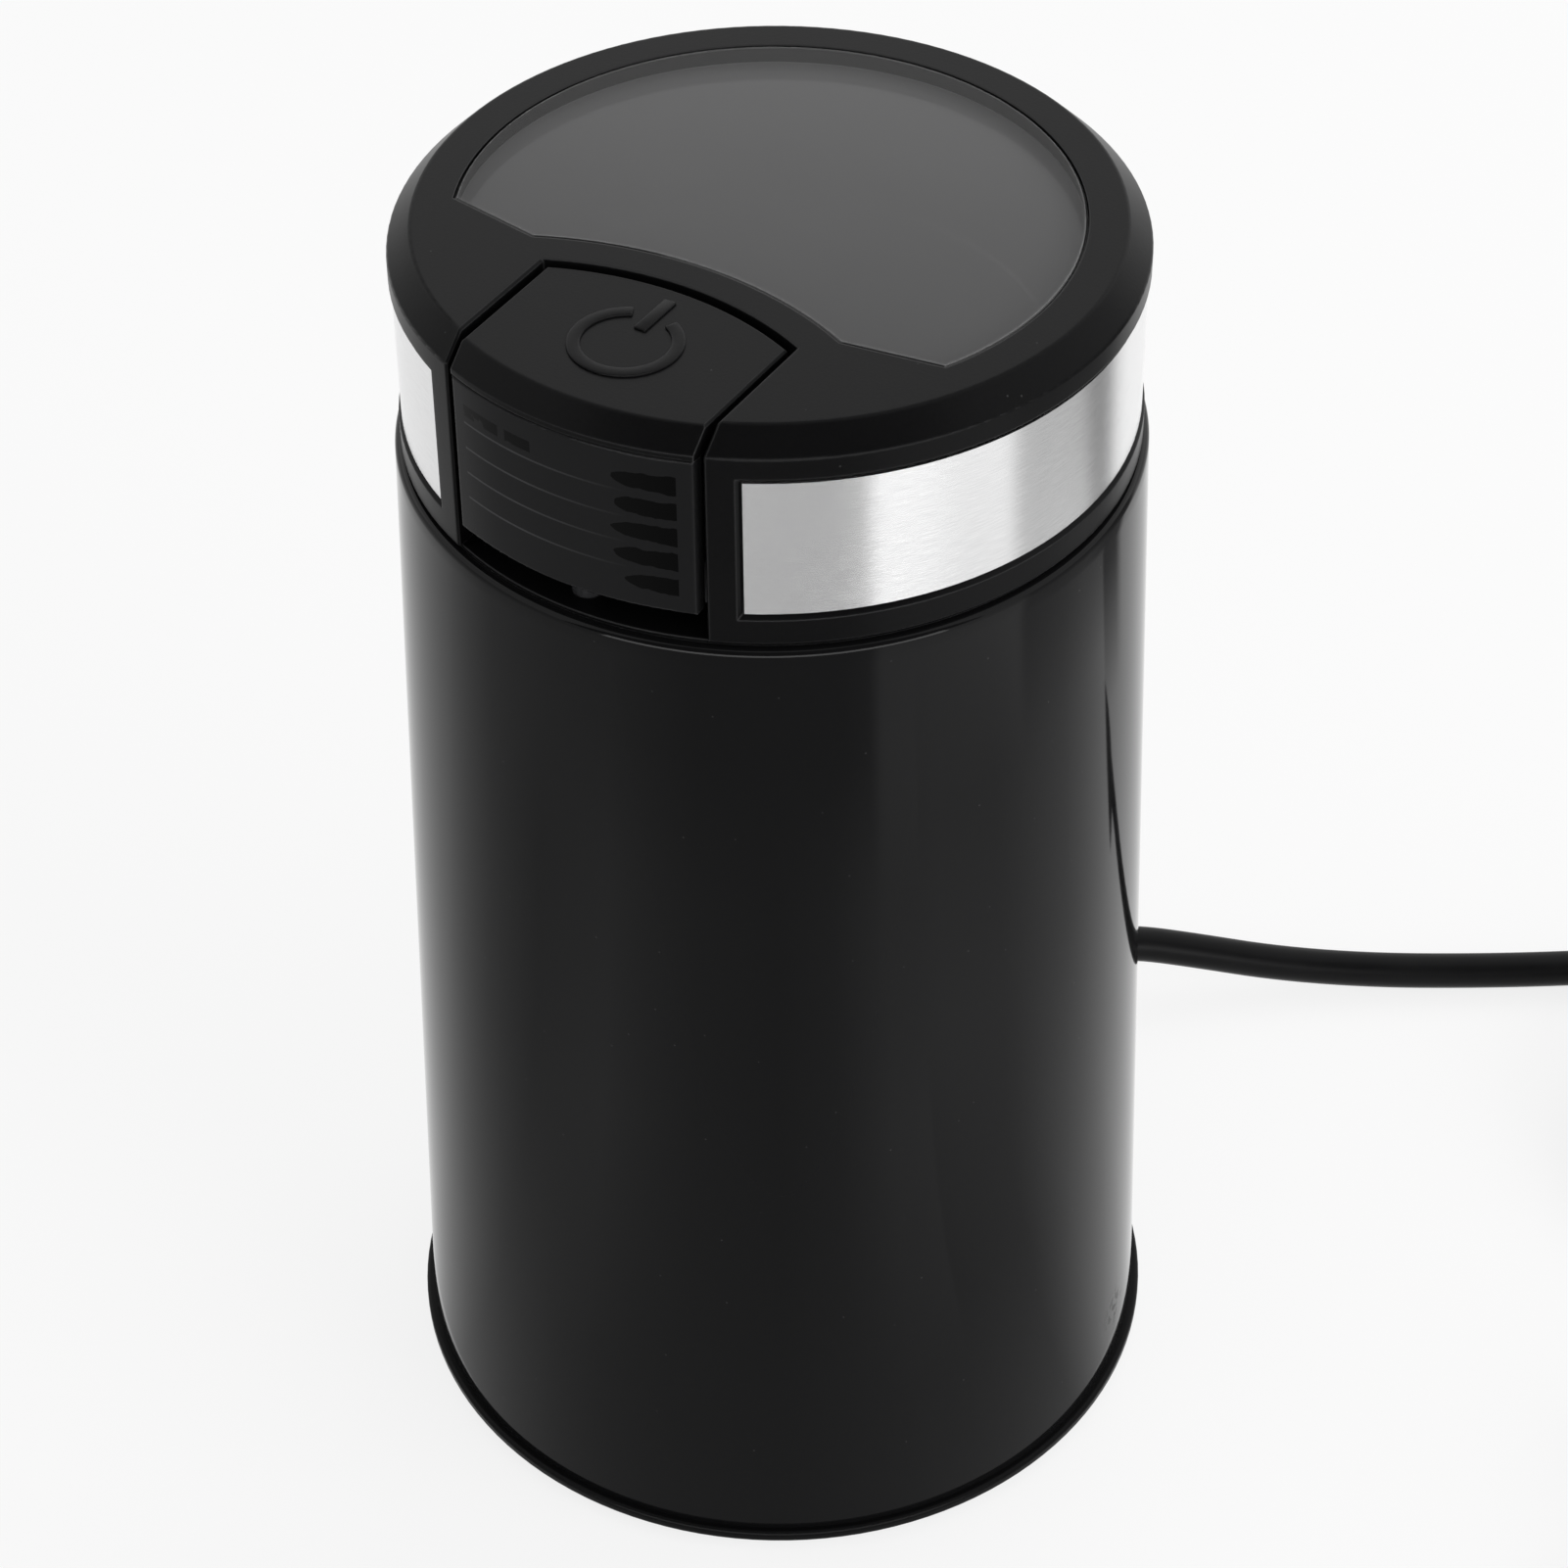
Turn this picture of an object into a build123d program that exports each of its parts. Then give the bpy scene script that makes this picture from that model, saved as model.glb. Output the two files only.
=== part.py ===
from build123d import *
from math import cos, pi, radians, sin, sqrt, tan
import os

os.makedirs("parts", exist_ok=True)

# Electric coffee grinder with a lift-off lid. Millimetres, +Z up, the floor at
# Z 0, the axis of the blade at X 0 and Y 0, the button towards -Y.

# Fits
running_gap = 0.05
sliding_gap = 0.08
slip = 0.1
screw_gap = 0.15
clear = 0.3

# Shell, base plate and feet
foot_drop = 1.5
foot_recess = 1.0
foot_radius = 5.0
foot_inset = 8.5
foot_round = 0.4
rim_reach = 1.0
rim_thickness = 1.6
shell_bottom_radius = 46.5
shell_flare = 4.0
shell_wall = 2.2
shell_edge = 0.8
spigot_height = 5.0
spigot_wall = 1.8
boss_radius = 4.2
boss_height = 4.9
vent_width = 3.0
vent_length_share = 0.28
vent_ring_share = 0.4
vent_count = 12

# Room round the bowl for the push rod, the posts and the walls
bowl_room = 11.5
bowl_depth = 42.0
bowl_stand = 8.5
bowl_wall = 0.8
bowl_corner = 8.0
bowl_lip = 2.4
bowl_hole = 5.5
seal_thickness = 0.8
upstand_wall = 2.4
collar_deck = 3.5
collar_lip = 0.5
collar_lip_reach = 1.0
cup_wall = 1.8
cup_floor = 2.5
cup_seat = 2.2
cup_hole = 8.6
seat_inset = 9.0
seat_width = 2.0
post_radius = 2.8

# Screws
screw_radius = 1.5
head_radius = 2.1
base_head_radius = 2.6
head_height = 1.5
screw_bite = 9.0
collar_screw_length = 10.0
post_bore = 11.0
head_sink = 0.2
small_screw_radius = 1.0
small_head_radius = 1.7

# Lid
lid_top = 168.4
lid_height = 26.9
lid_step = 0.7
lid_wall = 2.4
lid_plate = 2.2
lid_chamfer = 2.7
lid_edge = 0.3
pane_margin = 4.35
pane_flange = 1.4
pane_flange_thickness = 1.7
pane_knee_x_share = 0.558
pane_knee_y_share = 0.498
pane_nose_share = 0.371
pane_slope = 0.158
pane_edge = 0.3
liner_flange = 1.6
liner_inner_gap = 1.8
liner_skirt = 1.6
liner_skirt_lift = 1.5
band_lift = 3.9
band_lid_rest = 9.7
band_depth = 0.9
band_thickness = 0.5
band_half_angle = 27.75
band_end_slack = 0.2
bed_bevel = 0.6

# Button and its panel
button_half_width_share = 0.386
button_back_share = 0.45
button_arc_share = 0.957
button_gap = 0.85
button_travel = 2.5
button_plate = 2.2
cap_height = 3.5
sign_relief = 0.3
cap_edge = 0.25
panel_lift = 3.6
panel_thickness = 1.6
panel_frame = 2.2
panel_edge = 0.25
pillar_edge = 0.3
rib_count = 4
rib_height = 1.1
rib_depth = 0.4
bay_depth = 10.4
bay_wall = 1.5
button_spring_x_share = 0.6
button_spring_y_share = 0.69
stud_radius = 1.7
stud_height = 2.0
leg_half_width = 5.0
leg_depth = 3.3

# Push rod, switch and lever
rod_radius = 1.8
rod_drop = 0.5
shoulder_radius = 2.5
shoulder_height = 1.5
guide_height = 3.0
rod_spring_length = 19.0
switch_length = 12.8
switch_depth = 5.8
switch_height = 6.5
switch_drop = 6.0
switch_hole_left = 0.4
switch_hole_right = 6.6
switch_hole_top = 2.0
switch_hole_bottom = 1.8
hinge_x = 9.0
hinge_height = 0.6
hinge_pin = 0.7
lever_slope = 17.0
lever_length = 11.6
lever_width = 4.0
lever_thickness = 0.5
spring_wire = 0.3

# Motor
shaft_radius = 2.5
bearing_radius = 5.5
bearing_height = 6.0
grommet_height = 4.5
grommet_radius = 5.0
bracket_thickness = 4.5
bracket_half_width = 7.0
bracket_boss = 8.5
mount_share = 0.667
leg_share = 0.07
stator_gap = 1.2
stator_height_share = 0.24
yoke_width = 4.2
pole_share = 0.3644
bore_share = 0.5489
air_gap = 0.6
slot_count = 12
coil_width_share = 0.1982
coil_lift = 0.6
coil_gap = 0.3
winding_gap = 1.5
end_turn = 5.0
commutator_share = 0.57
commutator_height_share = 0.09
brush_width = 6.0
brush_height_share = 0.55
brush_length_share = 0.297
brush_spring_inset = 0.45
holder_wall = 1.4
holder_length_share = 0.43
brush_arm_rest = 3.0
fan_inset = 9.0
fan_height_share = 0.09
fan_blades = 8
blade_lift = 4.0
blade_thickness = 1.4
blade_tip_gap = 4.0
blade_waist = 8.0
wing_up = 4.5
wing_down = 2.2
blade_half_width = 5.0
blade_tip_half_width = 3.2
nut_radius = 5.2
nut_height = 5.0

# Cord, strain relief, coil and plug
cord_radius = 2.5
cord_exit_z = 9.0
relief_flange = 4.8
relief_neck = 4.0
relief_root = 4.6
relief_tip = 3.3
relief_bend = 28.5
relief_turn = 38.0
tail_rest = 6.0
clamp_x = 8.0
clamp_inset = 16.5
clamp_bar = 2.0
wire_radius = 0.9
coil_pitch = 5.6
coil_outer_radius = 33.8
coil_turns_layer = 2.4375
coil_right = 105.0
coil_back = 29.2
view_turn = 32.3
tie_thickness = 0.6
tie_width = 8.0
tie_turn = 0.15
plug_width = 33.0
plug_thickness = 13.5
plug_block = 12.0
plug_neck = 16.0
plug_boot = 11.0
lead_run = 26.0
pin_radius = 2.0
pin_length = 19.0
pin_spread = 18.6

# Heights and radii that follow from the sizes above
beyond = 2 * shell_bottom_radius
shell_bottom = foot_drop + rim_thickness
shell_top_radius = shell_bottom_radius - shell_flare
rim_radius = shell_bottom_radius + rim_reach
foot_ring = shell_bottom_radius - foot_inset
vent_length = shell_bottom_radius * vent_length_share
vent_ring = shell_bottom_radius * vent_ring_share
post_bottom = shell_bottom + boss_height
lid_bottom = lid_top - lid_height
shell_top = lid_bottom - collar_lip
deck_bottom = lid_bottom - collar_deck
collar_radius = shell_top_radius - shell_wall - slip
lid_radius = shell_top_radius - lid_step
lid_inner = lid_radius - lid_wall
lid_flat = lid_radius - lid_chamfer
pane_radius = lid_flat - pane_margin
pane_knee_x = pane_radius * pane_knee_x_share
pane_knee_y = pane_radius * pane_knee_y_share
pane_nose_y = pane_radius * pane_nose_share
plate_bottom = lid_top - lid_plate
flange_bottom = plate_bottom - pane_flange_thickness
liner_skirt_bottom = lid_bottom + liner_skirt_lift
band_bottom = lid_bottom + band_lift
band_height = lid_height - band_lid_rest
button_half_width = lid_flat * button_half_width_share
button_back = lid_flat * button_back_share
button_arc = lid_flat * button_arc_share
button_spring_x = button_half_width * button_spring_x_share
button_spring_y = lid_flat * button_spring_y_share
cap_top = lid_top - sign_relief
cap_bottom = lid_top - cap_height
panel_bottom = lid_bottom + panel_lift
bay_floor = lid_top - bay_depth
bowl_rim_top = lid_bottom + bowl_stand
bowl_floor = bowl_rim_top - bowl_depth
rod_top = bowl_rim_top - rod_drop
bowl_radius = shell_top_radius - bowl_room
bowl_outer = bowl_radius + bowl_wall
upstand_inner = bowl_outer + 2 * clear
upstand_outer = upstand_inner + upstand_wall
upstand_top = bowl_rim_top - bowl_wall - seal_thickness
cup_inner = bowl_outer + 0.8
cup_outer = cup_inner + cup_wall
cup_top = bowl_floor - bowl_wall - cup_seat
cup_bottom = cup_top - cup_floor
post_ring = cup_outer + post_radius - 0.2
rod_ring = upstand_outer + 2 * clear + rod_radius
switch_top = cup_bottom - switch_drop
switch_holes = [
    (switch_hole_left, switch_top - switch_hole_top),
    (switch_hole_right, switch_top - switch_height + switch_hole_bottom),
]
motor_room = cup_bottom - shell_bottom
leg_drop = motor_room * leg_share
upper_head = leg_drop - (bearing_height - bracket_thickness) - winding_gap
stator_height = motor_room * stator_height_share
commutator_height = motor_room * commutator_height_share
fan_height = motor_room * fan_height_share
brush_height = commutator_height * brush_height_share
brush_spring_radius = brush_height / 2 - spring_wire - brush_spring_inset
bracket_top = cup_bottom - grommet_height
bracket_bottom = bracket_top - bracket_thickness
stator_top = bracket_bottom - leg_drop
stator_bottom = stator_top - stator_height
stator_radius = post_ring - post_radius - stator_gap
mount_x = stator_radius * mount_share
yoke_inner = stator_radius - yoke_width
pole_half_width = yoke_inner * pole_share
bore_radius = yoke_inner * bore_share
coil_width = yoke_inner * coil_width_share
coil_side = pole_half_width + clear + coil_width
coil_inner = bore_radius + coil_lift
coil_thickness = sqrt((yoke_inner - coil_gap) ** 2 - coil_side**2) - coil_inner
commutator_radius = bore_radius * commutator_share
brush_length = stator_radius * brush_length_share
holder_length = stator_radius * holder_length_share
fan_radius = stator_radius - fan_inset
bolt_x = stator_radius - yoke_width / 2
commutator_top = stator_bottom - end_turn - 1.5
commutator_bottom = commutator_top - commutator_height
lower_top = commutator_bottom - 0.5
lower_bottom = lower_top - bracket_thickness
bearing_bottom = lower_top - bearing_height - 1.0
fan_top = bearing_bottom - 2.5
fan_bottom = fan_top - fan_height
shaft_bottom = fan_bottom - 3.0
blade_bottom = bowl_floor + blade_lift
blade_top = blade_bottom + blade_thickness
shaft_top = blade_top + nut_height - 1.5
blade_half_length = bowl_radius - blade_tip_gap
spigot_radius = shell_bottom_radius - shell_wall - 0.4
clamp_y = shell_bottom_radius - clamp_inset
tail_end_y = clamp_y - tail_rest


def corner_radii(points):
    """Radius of the arc at each inner corner of a route of straight runs."""
    radii = []
    for before, corner, after in zip(points, points[1:], points[2:]):
        run_in = Vector(*corner) - Vector(*before)
        run_out = Vector(*after) - Vector(*corner)
        turn = radians(run_in.get_angle(run_out))
        shorter = min(run_in.length, run_out.length)
        radii.append(0.45 * shorter / tan(turn / 2))
    return radii


def lay_biarcs(points, headings):
    """Two tangent arcs between each pair of neighbouring points of a winding."""
    for start, leave, end, arrive in zip(points, headings, points[1:], headings[1:]):
        span = end - start
        a = 2 * (leave.dot(arrive) - 1)
        b = -2 * span.dot(leave + arrive)
        c = span.dot(span)
        reach = (-b - sqrt(b * b - 4 * a * c)) / (2 * a)
        first = start + leave * reach
        second = end - arrive * reach
        middle = (first + second) * 0.5
        TangentArc(start, middle, tangent=leave)
        TangentArc(middle, end, tangent=second - first)


def lay_spring(foot, axis, side, radius, length, turns):
    """A helix of quarter turns, from its foot along its axis."""
    across = axis.cross(side)
    points = []
    headings = []
    for step in range(4 * turns + 1):
        angle = step * pi / 2
        out = side * cos(angle) + across * sin(angle)
        onward = across * cos(angle) - side * sin(angle)
        points.append(foot + out * radius + axis * (length * step / (4 * turns)))
        headings.append((onward * (2 * pi * radius * turns) + axis * length).normalized())
    lay_biarcs(points, headings)


def window_outline():
    """The pane seen from above: a disc cut off along the front."""
    Circle(pane_radius)
    side_y = -pane_knee_y + pane_slope * (beyond - pane_knee_x)
    with BuildLine() as front:
        left = Line((-beyond, side_y), (-pane_knee_x, -pane_knee_y))
        nose = ThreePointArc(left @ 1, (0, -pane_nose_y), (pane_knee_x, -pane_knee_y))
        Polyline(nose @ 1, (beyond, side_y), (beyond, -beyond), (-beyond, -beyond), left @ 0)
    make_face(front.edges(), mode=Mode.SUBTRACT)


def button_outline(grow, front):
    """The button seen from above, grown all round and closed at the front."""
    half = button_half_width + grow
    arc = button_arc + grow
    middle_y = -button_back - button_arc
    corner_y = middle_y + sqrt(arc * arc - half * half)
    with BuildLine() as edge:
        back = ThreePointArc((half, corner_y), (0, middle_y + arc), (-half, corner_y))
        Polyline(back @ 1, (-half, -front), (half, -front), back @ 0)
    make_face(edge.edges())


# Body shell: one flared tube, rounded at the top edge, with the cord hole
# at the rear. The base plate's rim and the collar's lip hold it between them.
with BuildPart() as body_shell:
    with BuildSketch(Plane.XZ):
        with BuildLine():
            Polyline(
                (shell_bottom_radius - shell_wall, shell_bottom),
                (shell_bottom_radius, shell_bottom),
                (shell_top_radius, shell_top),
                (shell_top_radius - shell_wall, shell_top),
                close=True,
            )
        make_face()
    revolve(axis=Axis.Z)
    rings = body_shell.edges().filter_by(GeomType.CIRCLE).group_by(Axis.Z)[-1]
    fillet(rings.sort_by(SortBy.RADIUS)[-1], shell_edge)
    with BuildSketch(Plane.XZ.offset(-shell_bottom_radius - 5)):
        with Locations((0, cord_exit_z)):
            Circle(relief_neck)
    extrude(amount=15, mode=Mode.SUBTRACT)
body_shell.part.label = "body_shell"
export_step(body_shell.part, "parts/body_shell.step")

# Base plate: a disc whose rounded rim stands out below the shell, with a
# spigot inside the shell, bosses under the posts, air slots, and the saddle
# and pillars of the cord clamp.
with BuildPart() as base_plate:
    with BuildSketch(Plane.XY.offset(foot_drop)):
        Circle(rim_radius)
    extrude(amount=rim_thickness)
    fillet(base_plate.edges().filter_by(GeomType.CIRCLE), 0.5)
    with BuildSketch(Plane.XY.offset(shell_bottom)):
        Circle(spigot_radius)
        Circle(spigot_radius - spigot_wall, mode=Mode.SUBTRACT)
    extrude(amount=spigot_height)
    with BuildSketch(Plane.XY.offset(shell_bottom)):
        with Locations((0, spigot_radius)):
            Rectangle(2 * relief_flange + 1, 6 * spigot_wall)
    extrude(amount=spigot_height, mode=Mode.SUBTRACT)
    with BuildSketch(Plane.XY.offset(shell_bottom)):
        with PolarLocations(post_ring, 4, start_angle=45):
            Circle(boss_radius)
    extrude(amount=boss_height)
    with BuildSketch(Plane.XY.offset(shell_bottom)):
        with PolarLocations(foot_ring, 4):
            Circle(foot_radius + 1)
    extrude(amount=foot_recess)
    with BuildSketch(Plane.XY.offset(shell_bottom)):
        with Locations((-clamp_x, clamp_y), (clamp_x, clamp_y)):
            Circle(3)
    extrude(amount=cord_exit_z + cord_radius + 0.1 - shell_bottom)
    with BuildSketch(Plane.XY.offset(shell_bottom)):
        with Locations((0, clamp_y)):
            Rectangle(6, 6)
    extrude(amount=cord_exit_z - cord_radius - shell_bottom)
    with BuildSketch(Plane.XY.offset(foot_drop)):
        with PolarLocations(vent_ring, vent_count, start_angle=15):
            SlotOverall(vent_length, vent_width)
    extrude(amount=rim_thickness, mode=Mode.SUBTRACT)
    with BuildSketch(Plane.XY.offset(foot_drop)):
        with PolarLocations(foot_ring, 4):
            Circle(foot_radius + 0.2)
    extrude(amount=foot_recess, mode=Mode.SUBTRACT)
    with BuildSketch(Plane.XY.offset(foot_drop)):
        with PolarLocations(post_ring, 4, start_angle=45):
            Circle(screw_radius + screw_gap)
    extrude(amount=rim_thickness + boss_height, mode=Mode.SUBTRACT)
    with BuildSketch(Plane.XY.offset(foot_drop)):
        with PolarLocations(post_ring, 4, start_angle=45):
            Circle(base_head_radius + clear)
    extrude(amount=head_height + 2, mode=Mode.SUBTRACT)
    with BuildSketch(Plane.XY.offset(shell_bottom + 1)):
        with Locations((-clamp_x, clamp_y), (clamp_x, clamp_y)):
            Circle(small_screw_radius + running_gap)
    extrude(amount=cord_exit_z, mode=Mode.SUBTRACT)
base_plate.part.label = "base_plate"
export_step(base_plate.part, "parts/base_plate.step")

# Four rubber feet, pushed into the round recesses of the base plate.
with BuildPart() as rubber_feet:
    with BuildSketch(Plane.XY):
        with PolarLocations(foot_ring, 4):
            Circle(foot_radius)
    extrude(amount=foot_drop + foot_recess)
    fillet(rubber_feet.edges().filter_by(GeomType.CIRCLE).group_by(Axis.Z)[0], foot_round)
rubber_feet.part.label = "rubber_feet"
export_step(rubber_feet.part, "parts/rubber_feet.step")

# Four long-hole base screws, up through the base plate into the posts.
base_head_top = foot_drop + head_height + 2
with BuildPart() as base_screws:
    with BuildSketch(Plane.XY.offset(base_head_top - head_height)):
        with PolarLocations(post_ring, 4, start_angle=45):
            Circle(base_head_radius)
    extrude(amount=head_height)
    with BuildSketch(Plane.XY.offset(base_head_top)):
        with PolarLocations(post_ring, 4, start_angle=45):
            Circle(screw_radius)
    extrude(amount=post_bottom - base_head_top + screw_bite)
base_screws.part.label = "base_screws"
export_step(base_screws.part, "parts/base_screws.step")

# Bowl housing: the inner moulding. Its cup carries the bowl and closes it off
# from the motor, which hangs under the cup's floor; four posts run down to the
# base plate; the front carries the rod guide and the plate of the switch.
switch_back = rod_ring - switch_depth / 2 - 0.3
with BuildPart() as bowl_housing:
    with BuildSketch(Plane.XZ):
        with BuildLine():
            Polyline(
                (cup_hole, cup_bottom),
                (cup_outer, cup_bottom),
                (cup_outer, deck_bottom),
                (cup_inner, deck_bottom),
                (cup_inner, cup_top),
                (cup_hole, cup_top),
                close=True,
            )
        make_face()
    revolve(axis=Axis.Z)
    with BuildSketch(Plane.XY.offset(cup_top)):
        Circle(bowl_radius - seat_inset)
        Circle(bowl_radius - seat_inset - seat_width, mode=Mode.SUBTRACT)
    extrude(amount=cup_seat)
    with BuildSketch(Plane.XY.offset(cup_bottom)):
        with PolarLocations(cup_outer + post_radius / 2 - 0.9, 4, start_angle=45):
            Rectangle(post_radius, 3.2)
    extrude(amount=deck_bottom - cup_bottom)
    with BuildSketch(Plane.XY.offset(post_bottom)):
        with PolarLocations(post_ring, 4, start_angle=45):
            Circle(post_radius)
    extrude(amount=deck_bottom - post_bottom)
    with BuildSketch(Plane.XY.offset(cup_top)):
        with Locations((0, -cup_outer - 2.2)):
            Rectangle(7.2, 6.4)
    extrude(amount=guide_height)
    with BuildSketch(Plane.XY.offset(switch_top - switch_height - 1)):
        with Locations((3.5, -switch_back + 0.9)):
            Rectangle(14, 1.8)
    extrude(amount=cup_bottom - switch_top + switch_height + 1.5)
    with BuildSketch(Plane.XY.offset(cup_top)):
        with Locations((0, -rod_ring)):
            Circle(rod_radius + sliding_gap)
    extrude(amount=guide_height, mode=Mode.SUBTRACT)
    with BuildSketch(Plane.XY.offset(post_bottom)):
        with PolarLocations(post_ring, 4, start_angle=45):
            Circle(screw_radius + running_gap)
    extrude(amount=post_bore, mode=Mode.SUBTRACT)
    with BuildSketch(Plane.XY.offset(deck_bottom - post_bore)):
        with PolarLocations(post_ring, 4, start_angle=45):
            Circle(screw_radius + running_gap)
    extrude(amount=post_bore, mode=Mode.SUBTRACT)
    with BuildSketch(Plane.XY.offset(cup_bottom)):
        with Locations((-mount_x, 0), (mount_x, 0)):
            Circle(screw_radius + running_gap)
    extrude(amount=cup_floor + cup_seat, mode=Mode.SUBTRACT)
    with BuildSketch(Plane.XZ.offset(switch_back + 2)):
        with Locations(*switch_holes):
            Circle(small_screw_radius + running_gap)
    extrude(amount=-6, mode=Mode.SUBTRACT)
bowl_housing.part.label = "bowl_housing"
export_step(bowl_housing.part, "parts/bowl_housing.step")

# Collar: fills the mouth of the shell, laps over its edge with a thin lip, and
# stands up inside the lid, where its rim carries the bowl.
with BuildPart() as top_collar:
    with BuildSketch(Plane.XZ):
        with BuildLine():
            Polyline(
                (upstand_inner, deck_bottom),
                (collar_radius, deck_bottom),
                (collar_radius, shell_top),
                (collar_radius + collar_lip_reach, shell_top),
                (collar_radius + collar_lip_reach, lid_bottom),
                (upstand_outer, lid_bottom),
                (upstand_outer, upstand_top),
                (upstand_inner, upstand_top),
                close=True,
            )
        make_face()
    revolve(axis=Axis.Z)
    with BuildSketch(Plane.XY.offset(deck_bottom)):
        with Locations((0, -rod_ring)):
            Circle(rod_radius + sliding_gap)
    extrude(amount=collar_deck, mode=Mode.SUBTRACT)
    with BuildSketch(Plane.XY.offset(deck_bottom)):
        with PolarLocations(post_ring, 4, start_angle=45):
            Circle(screw_radius + screw_gap)
    extrude(amount=collar_deck, mode=Mode.SUBTRACT)
    with BuildSketch(Plane.XY.offset(lid_bottom - head_height - head_sink)):
        with PolarLocations(post_ring, 4, start_angle=45):
            Circle(head_radius + slip)
    extrude(amount=head_height + head_sink, mode=Mode.SUBTRACT)
top_collar.part.label = "top_collar"
export_step(top_collar.part, "parts/top_collar.step")

# Four collar screws, sunk in the collar's deck, down into the posts.
with BuildPart() as collar_screws:
    with BuildSketch(Plane.XY.offset(lid_bottom - head_height - head_sink)):
        with PolarLocations(post_ring, 4, start_angle=45):
            Circle(head_radius)
    extrude(amount=head_height)
    with BuildSketch(Plane.XY.offset(lid_bottom - head_height - head_sink)):
        with PolarLocations(post_ring, 4, start_angle=45):
            Circle(screw_radius)
    extrude(amount=-collar_screw_length)
collar_screws.part.label = "collar_screws"
export_step(collar_screws.part, "parts/collar_screws.step")

# Grinding bowl: a drawn steel cup with a turned-out rim and a hole for the shaft.
with BuildPart() as grinding_bowl:
    with BuildSketch(Plane.XZ) as bowl_profile:
        with BuildLine():
            Polyline(
                (bowl_hole, bowl_floor - bowl_wall),
                (bowl_outer, bowl_floor - bowl_wall),
                (bowl_outer, bowl_rim_top - bowl_wall),
                (bowl_outer + bowl_lip, bowl_rim_top - bowl_wall),
                (bowl_outer + bowl_lip, bowl_rim_top),
                (bowl_radius, bowl_rim_top),
                (bowl_radius, bowl_floor),
                (bowl_hole, bowl_floor),
                close=True,
            )
        make_face()
        outer = bowl_profile.vertices().sort_by_distance((bowl_outer, bowl_floor - bowl_wall, 0))[0]
        fillet(outer, bowl_corner + bowl_wall)
        inner = bowl_profile.vertices().sort_by_distance((bowl_radius, bowl_floor, 0))[0]
        fillet(inner, bowl_corner)
        mouth = bowl_profile.vertices().sort_by_distance((bowl_radius, bowl_rim_top, 0))[0]
        fillet(mouth, 0.6)
    revolve(axis=Axis.Z)
grinding_bowl.part.label = "grinding_bowl"
export_step(grinding_bowl.part, "parts/grinding_bowl.step")

# Flat silicone ring between the bowl's rim and the collar.
with BuildPart() as bowl_seal:
    with BuildSketch(Plane.XY.offset(upstand_top)):
        Circle(bowl_outer + bowl_lip)
        Circle(upstand_inner + 0.2, mode=Mode.SUBTRACT)
    extrude(amount=seal_thickness)
bowl_seal.part.label = "bowl_seal"
export_step(bowl_seal.part, "parts/bowl_seal.step")

# Rubber shaft seal: grooved into the hole of the bowl's floor, clear of the shaft.
with BuildPart() as shaft_seal:
    with BuildSketch(Plane.XZ):
        with BuildLine():
            Polyline(
                (shaft_radius + clear, bowl_floor - bowl_wall - 1.6),
                (bowl_hole + 2.3, bowl_floor - bowl_wall - 1.6),
                (bowl_hole + 2.3, bowl_floor - bowl_wall),
                (bowl_hole, bowl_floor - bowl_wall),
                (bowl_hole, bowl_floor),
                (bowl_hole + 1.6, bowl_floor),
                (bowl_hole, bowl_floor + 1.5),
                (shaft_radius + clear, bowl_floor + 1.5),
                close=True,
            )
        make_face()
    revolve(axis=Axis.Z)
shaft_seal.part.label = "shaft_seal"
export_step(shaft_seal.part, "parts/shaft_seal.step")

# Motor shaft, from below the fan up to the blade.
with BuildPart() as motor_shaft:
    with BuildSketch(Plane.XY.offset(shaft_bottom)):
        Circle(shaft_radius)
    extrude(amount=shaft_top - shaft_bottom)
    chamfer(motor_shaft.edges().filter_by(GeomType.CIRCLE), 0.4)
motor_shaft.part.label = "motor_shaft"
export_step(motor_shaft.part, "parts/motor_shaft.step")

# Blade: a bent strip with one wing up and one wing down, narrower at its tips.
with BuildPart() as blade:
    with BuildSketch(Plane.XZ):
        with BuildLine():
            Polyline(
                (-blade_half_length, blade_bottom - wing_down),
                (-0.5 * blade_half_length, blade_bottom),
                (0.5 * blade_half_length, blade_bottom),
                (blade_half_length, blade_bottom + wing_up),
                (blade_half_length, blade_top + wing_up),
                (0.48 * blade_half_length, blade_top),
                (-0.52 * blade_half_length, blade_top),
                (-blade_half_length, blade_top - wing_down),
                close=True,
            )
        make_face()
    extrude(amount=blade_half_width, both=True)
    with BuildSketch(Plane.XY.offset(blade_bottom - 2 * wing_down)) as blade_plan:
        with BuildLine():
            Polyline(
                (-blade_half_length, -blade_tip_half_width),
                (-blade_waist, -blade_half_width),
                (blade_waist, -blade_half_width),
                (blade_half_length, -0.4 * blade_tip_half_width),
                (blade_half_length, blade_tip_half_width),
                (blade_waist, blade_half_width),
                (-blade_waist, blade_half_width),
                (-blade_half_length, 0.4 * blade_tip_half_width),
                close=True,
            )
        make_face()
        fillet(blade_plan.vertices(), 1.0)
    extrude(amount=blade_thickness + 2 * wing_down + 2 * wing_up, mode=Mode.INTERSECT)
    with BuildSketch(Plane.XY.offset(blade_bottom - 1)):
        Circle(shaft_radius)
    extrude(amount=blade_thickness + 2, mode=Mode.SUBTRACT)
blade.part.label = "blade"
export_step(blade.part, "parts/blade.step")

# Spacer between the shaft seal and the blade, turning with the shaft.
with BuildPart() as blade_spacer:
    with BuildSketch(Plane.XY.offset(bowl_floor + 1.5 + clear)):
        Circle(4.2)
        Circle(shaft_radius, mode=Mode.SUBTRACT)
    extrude(amount=blade_lift - 1.5 - clear)
blade_spacer.part.label = "blade_spacer"
export_step(blade_spacer.part, "parts/blade_spacer.step")

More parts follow.
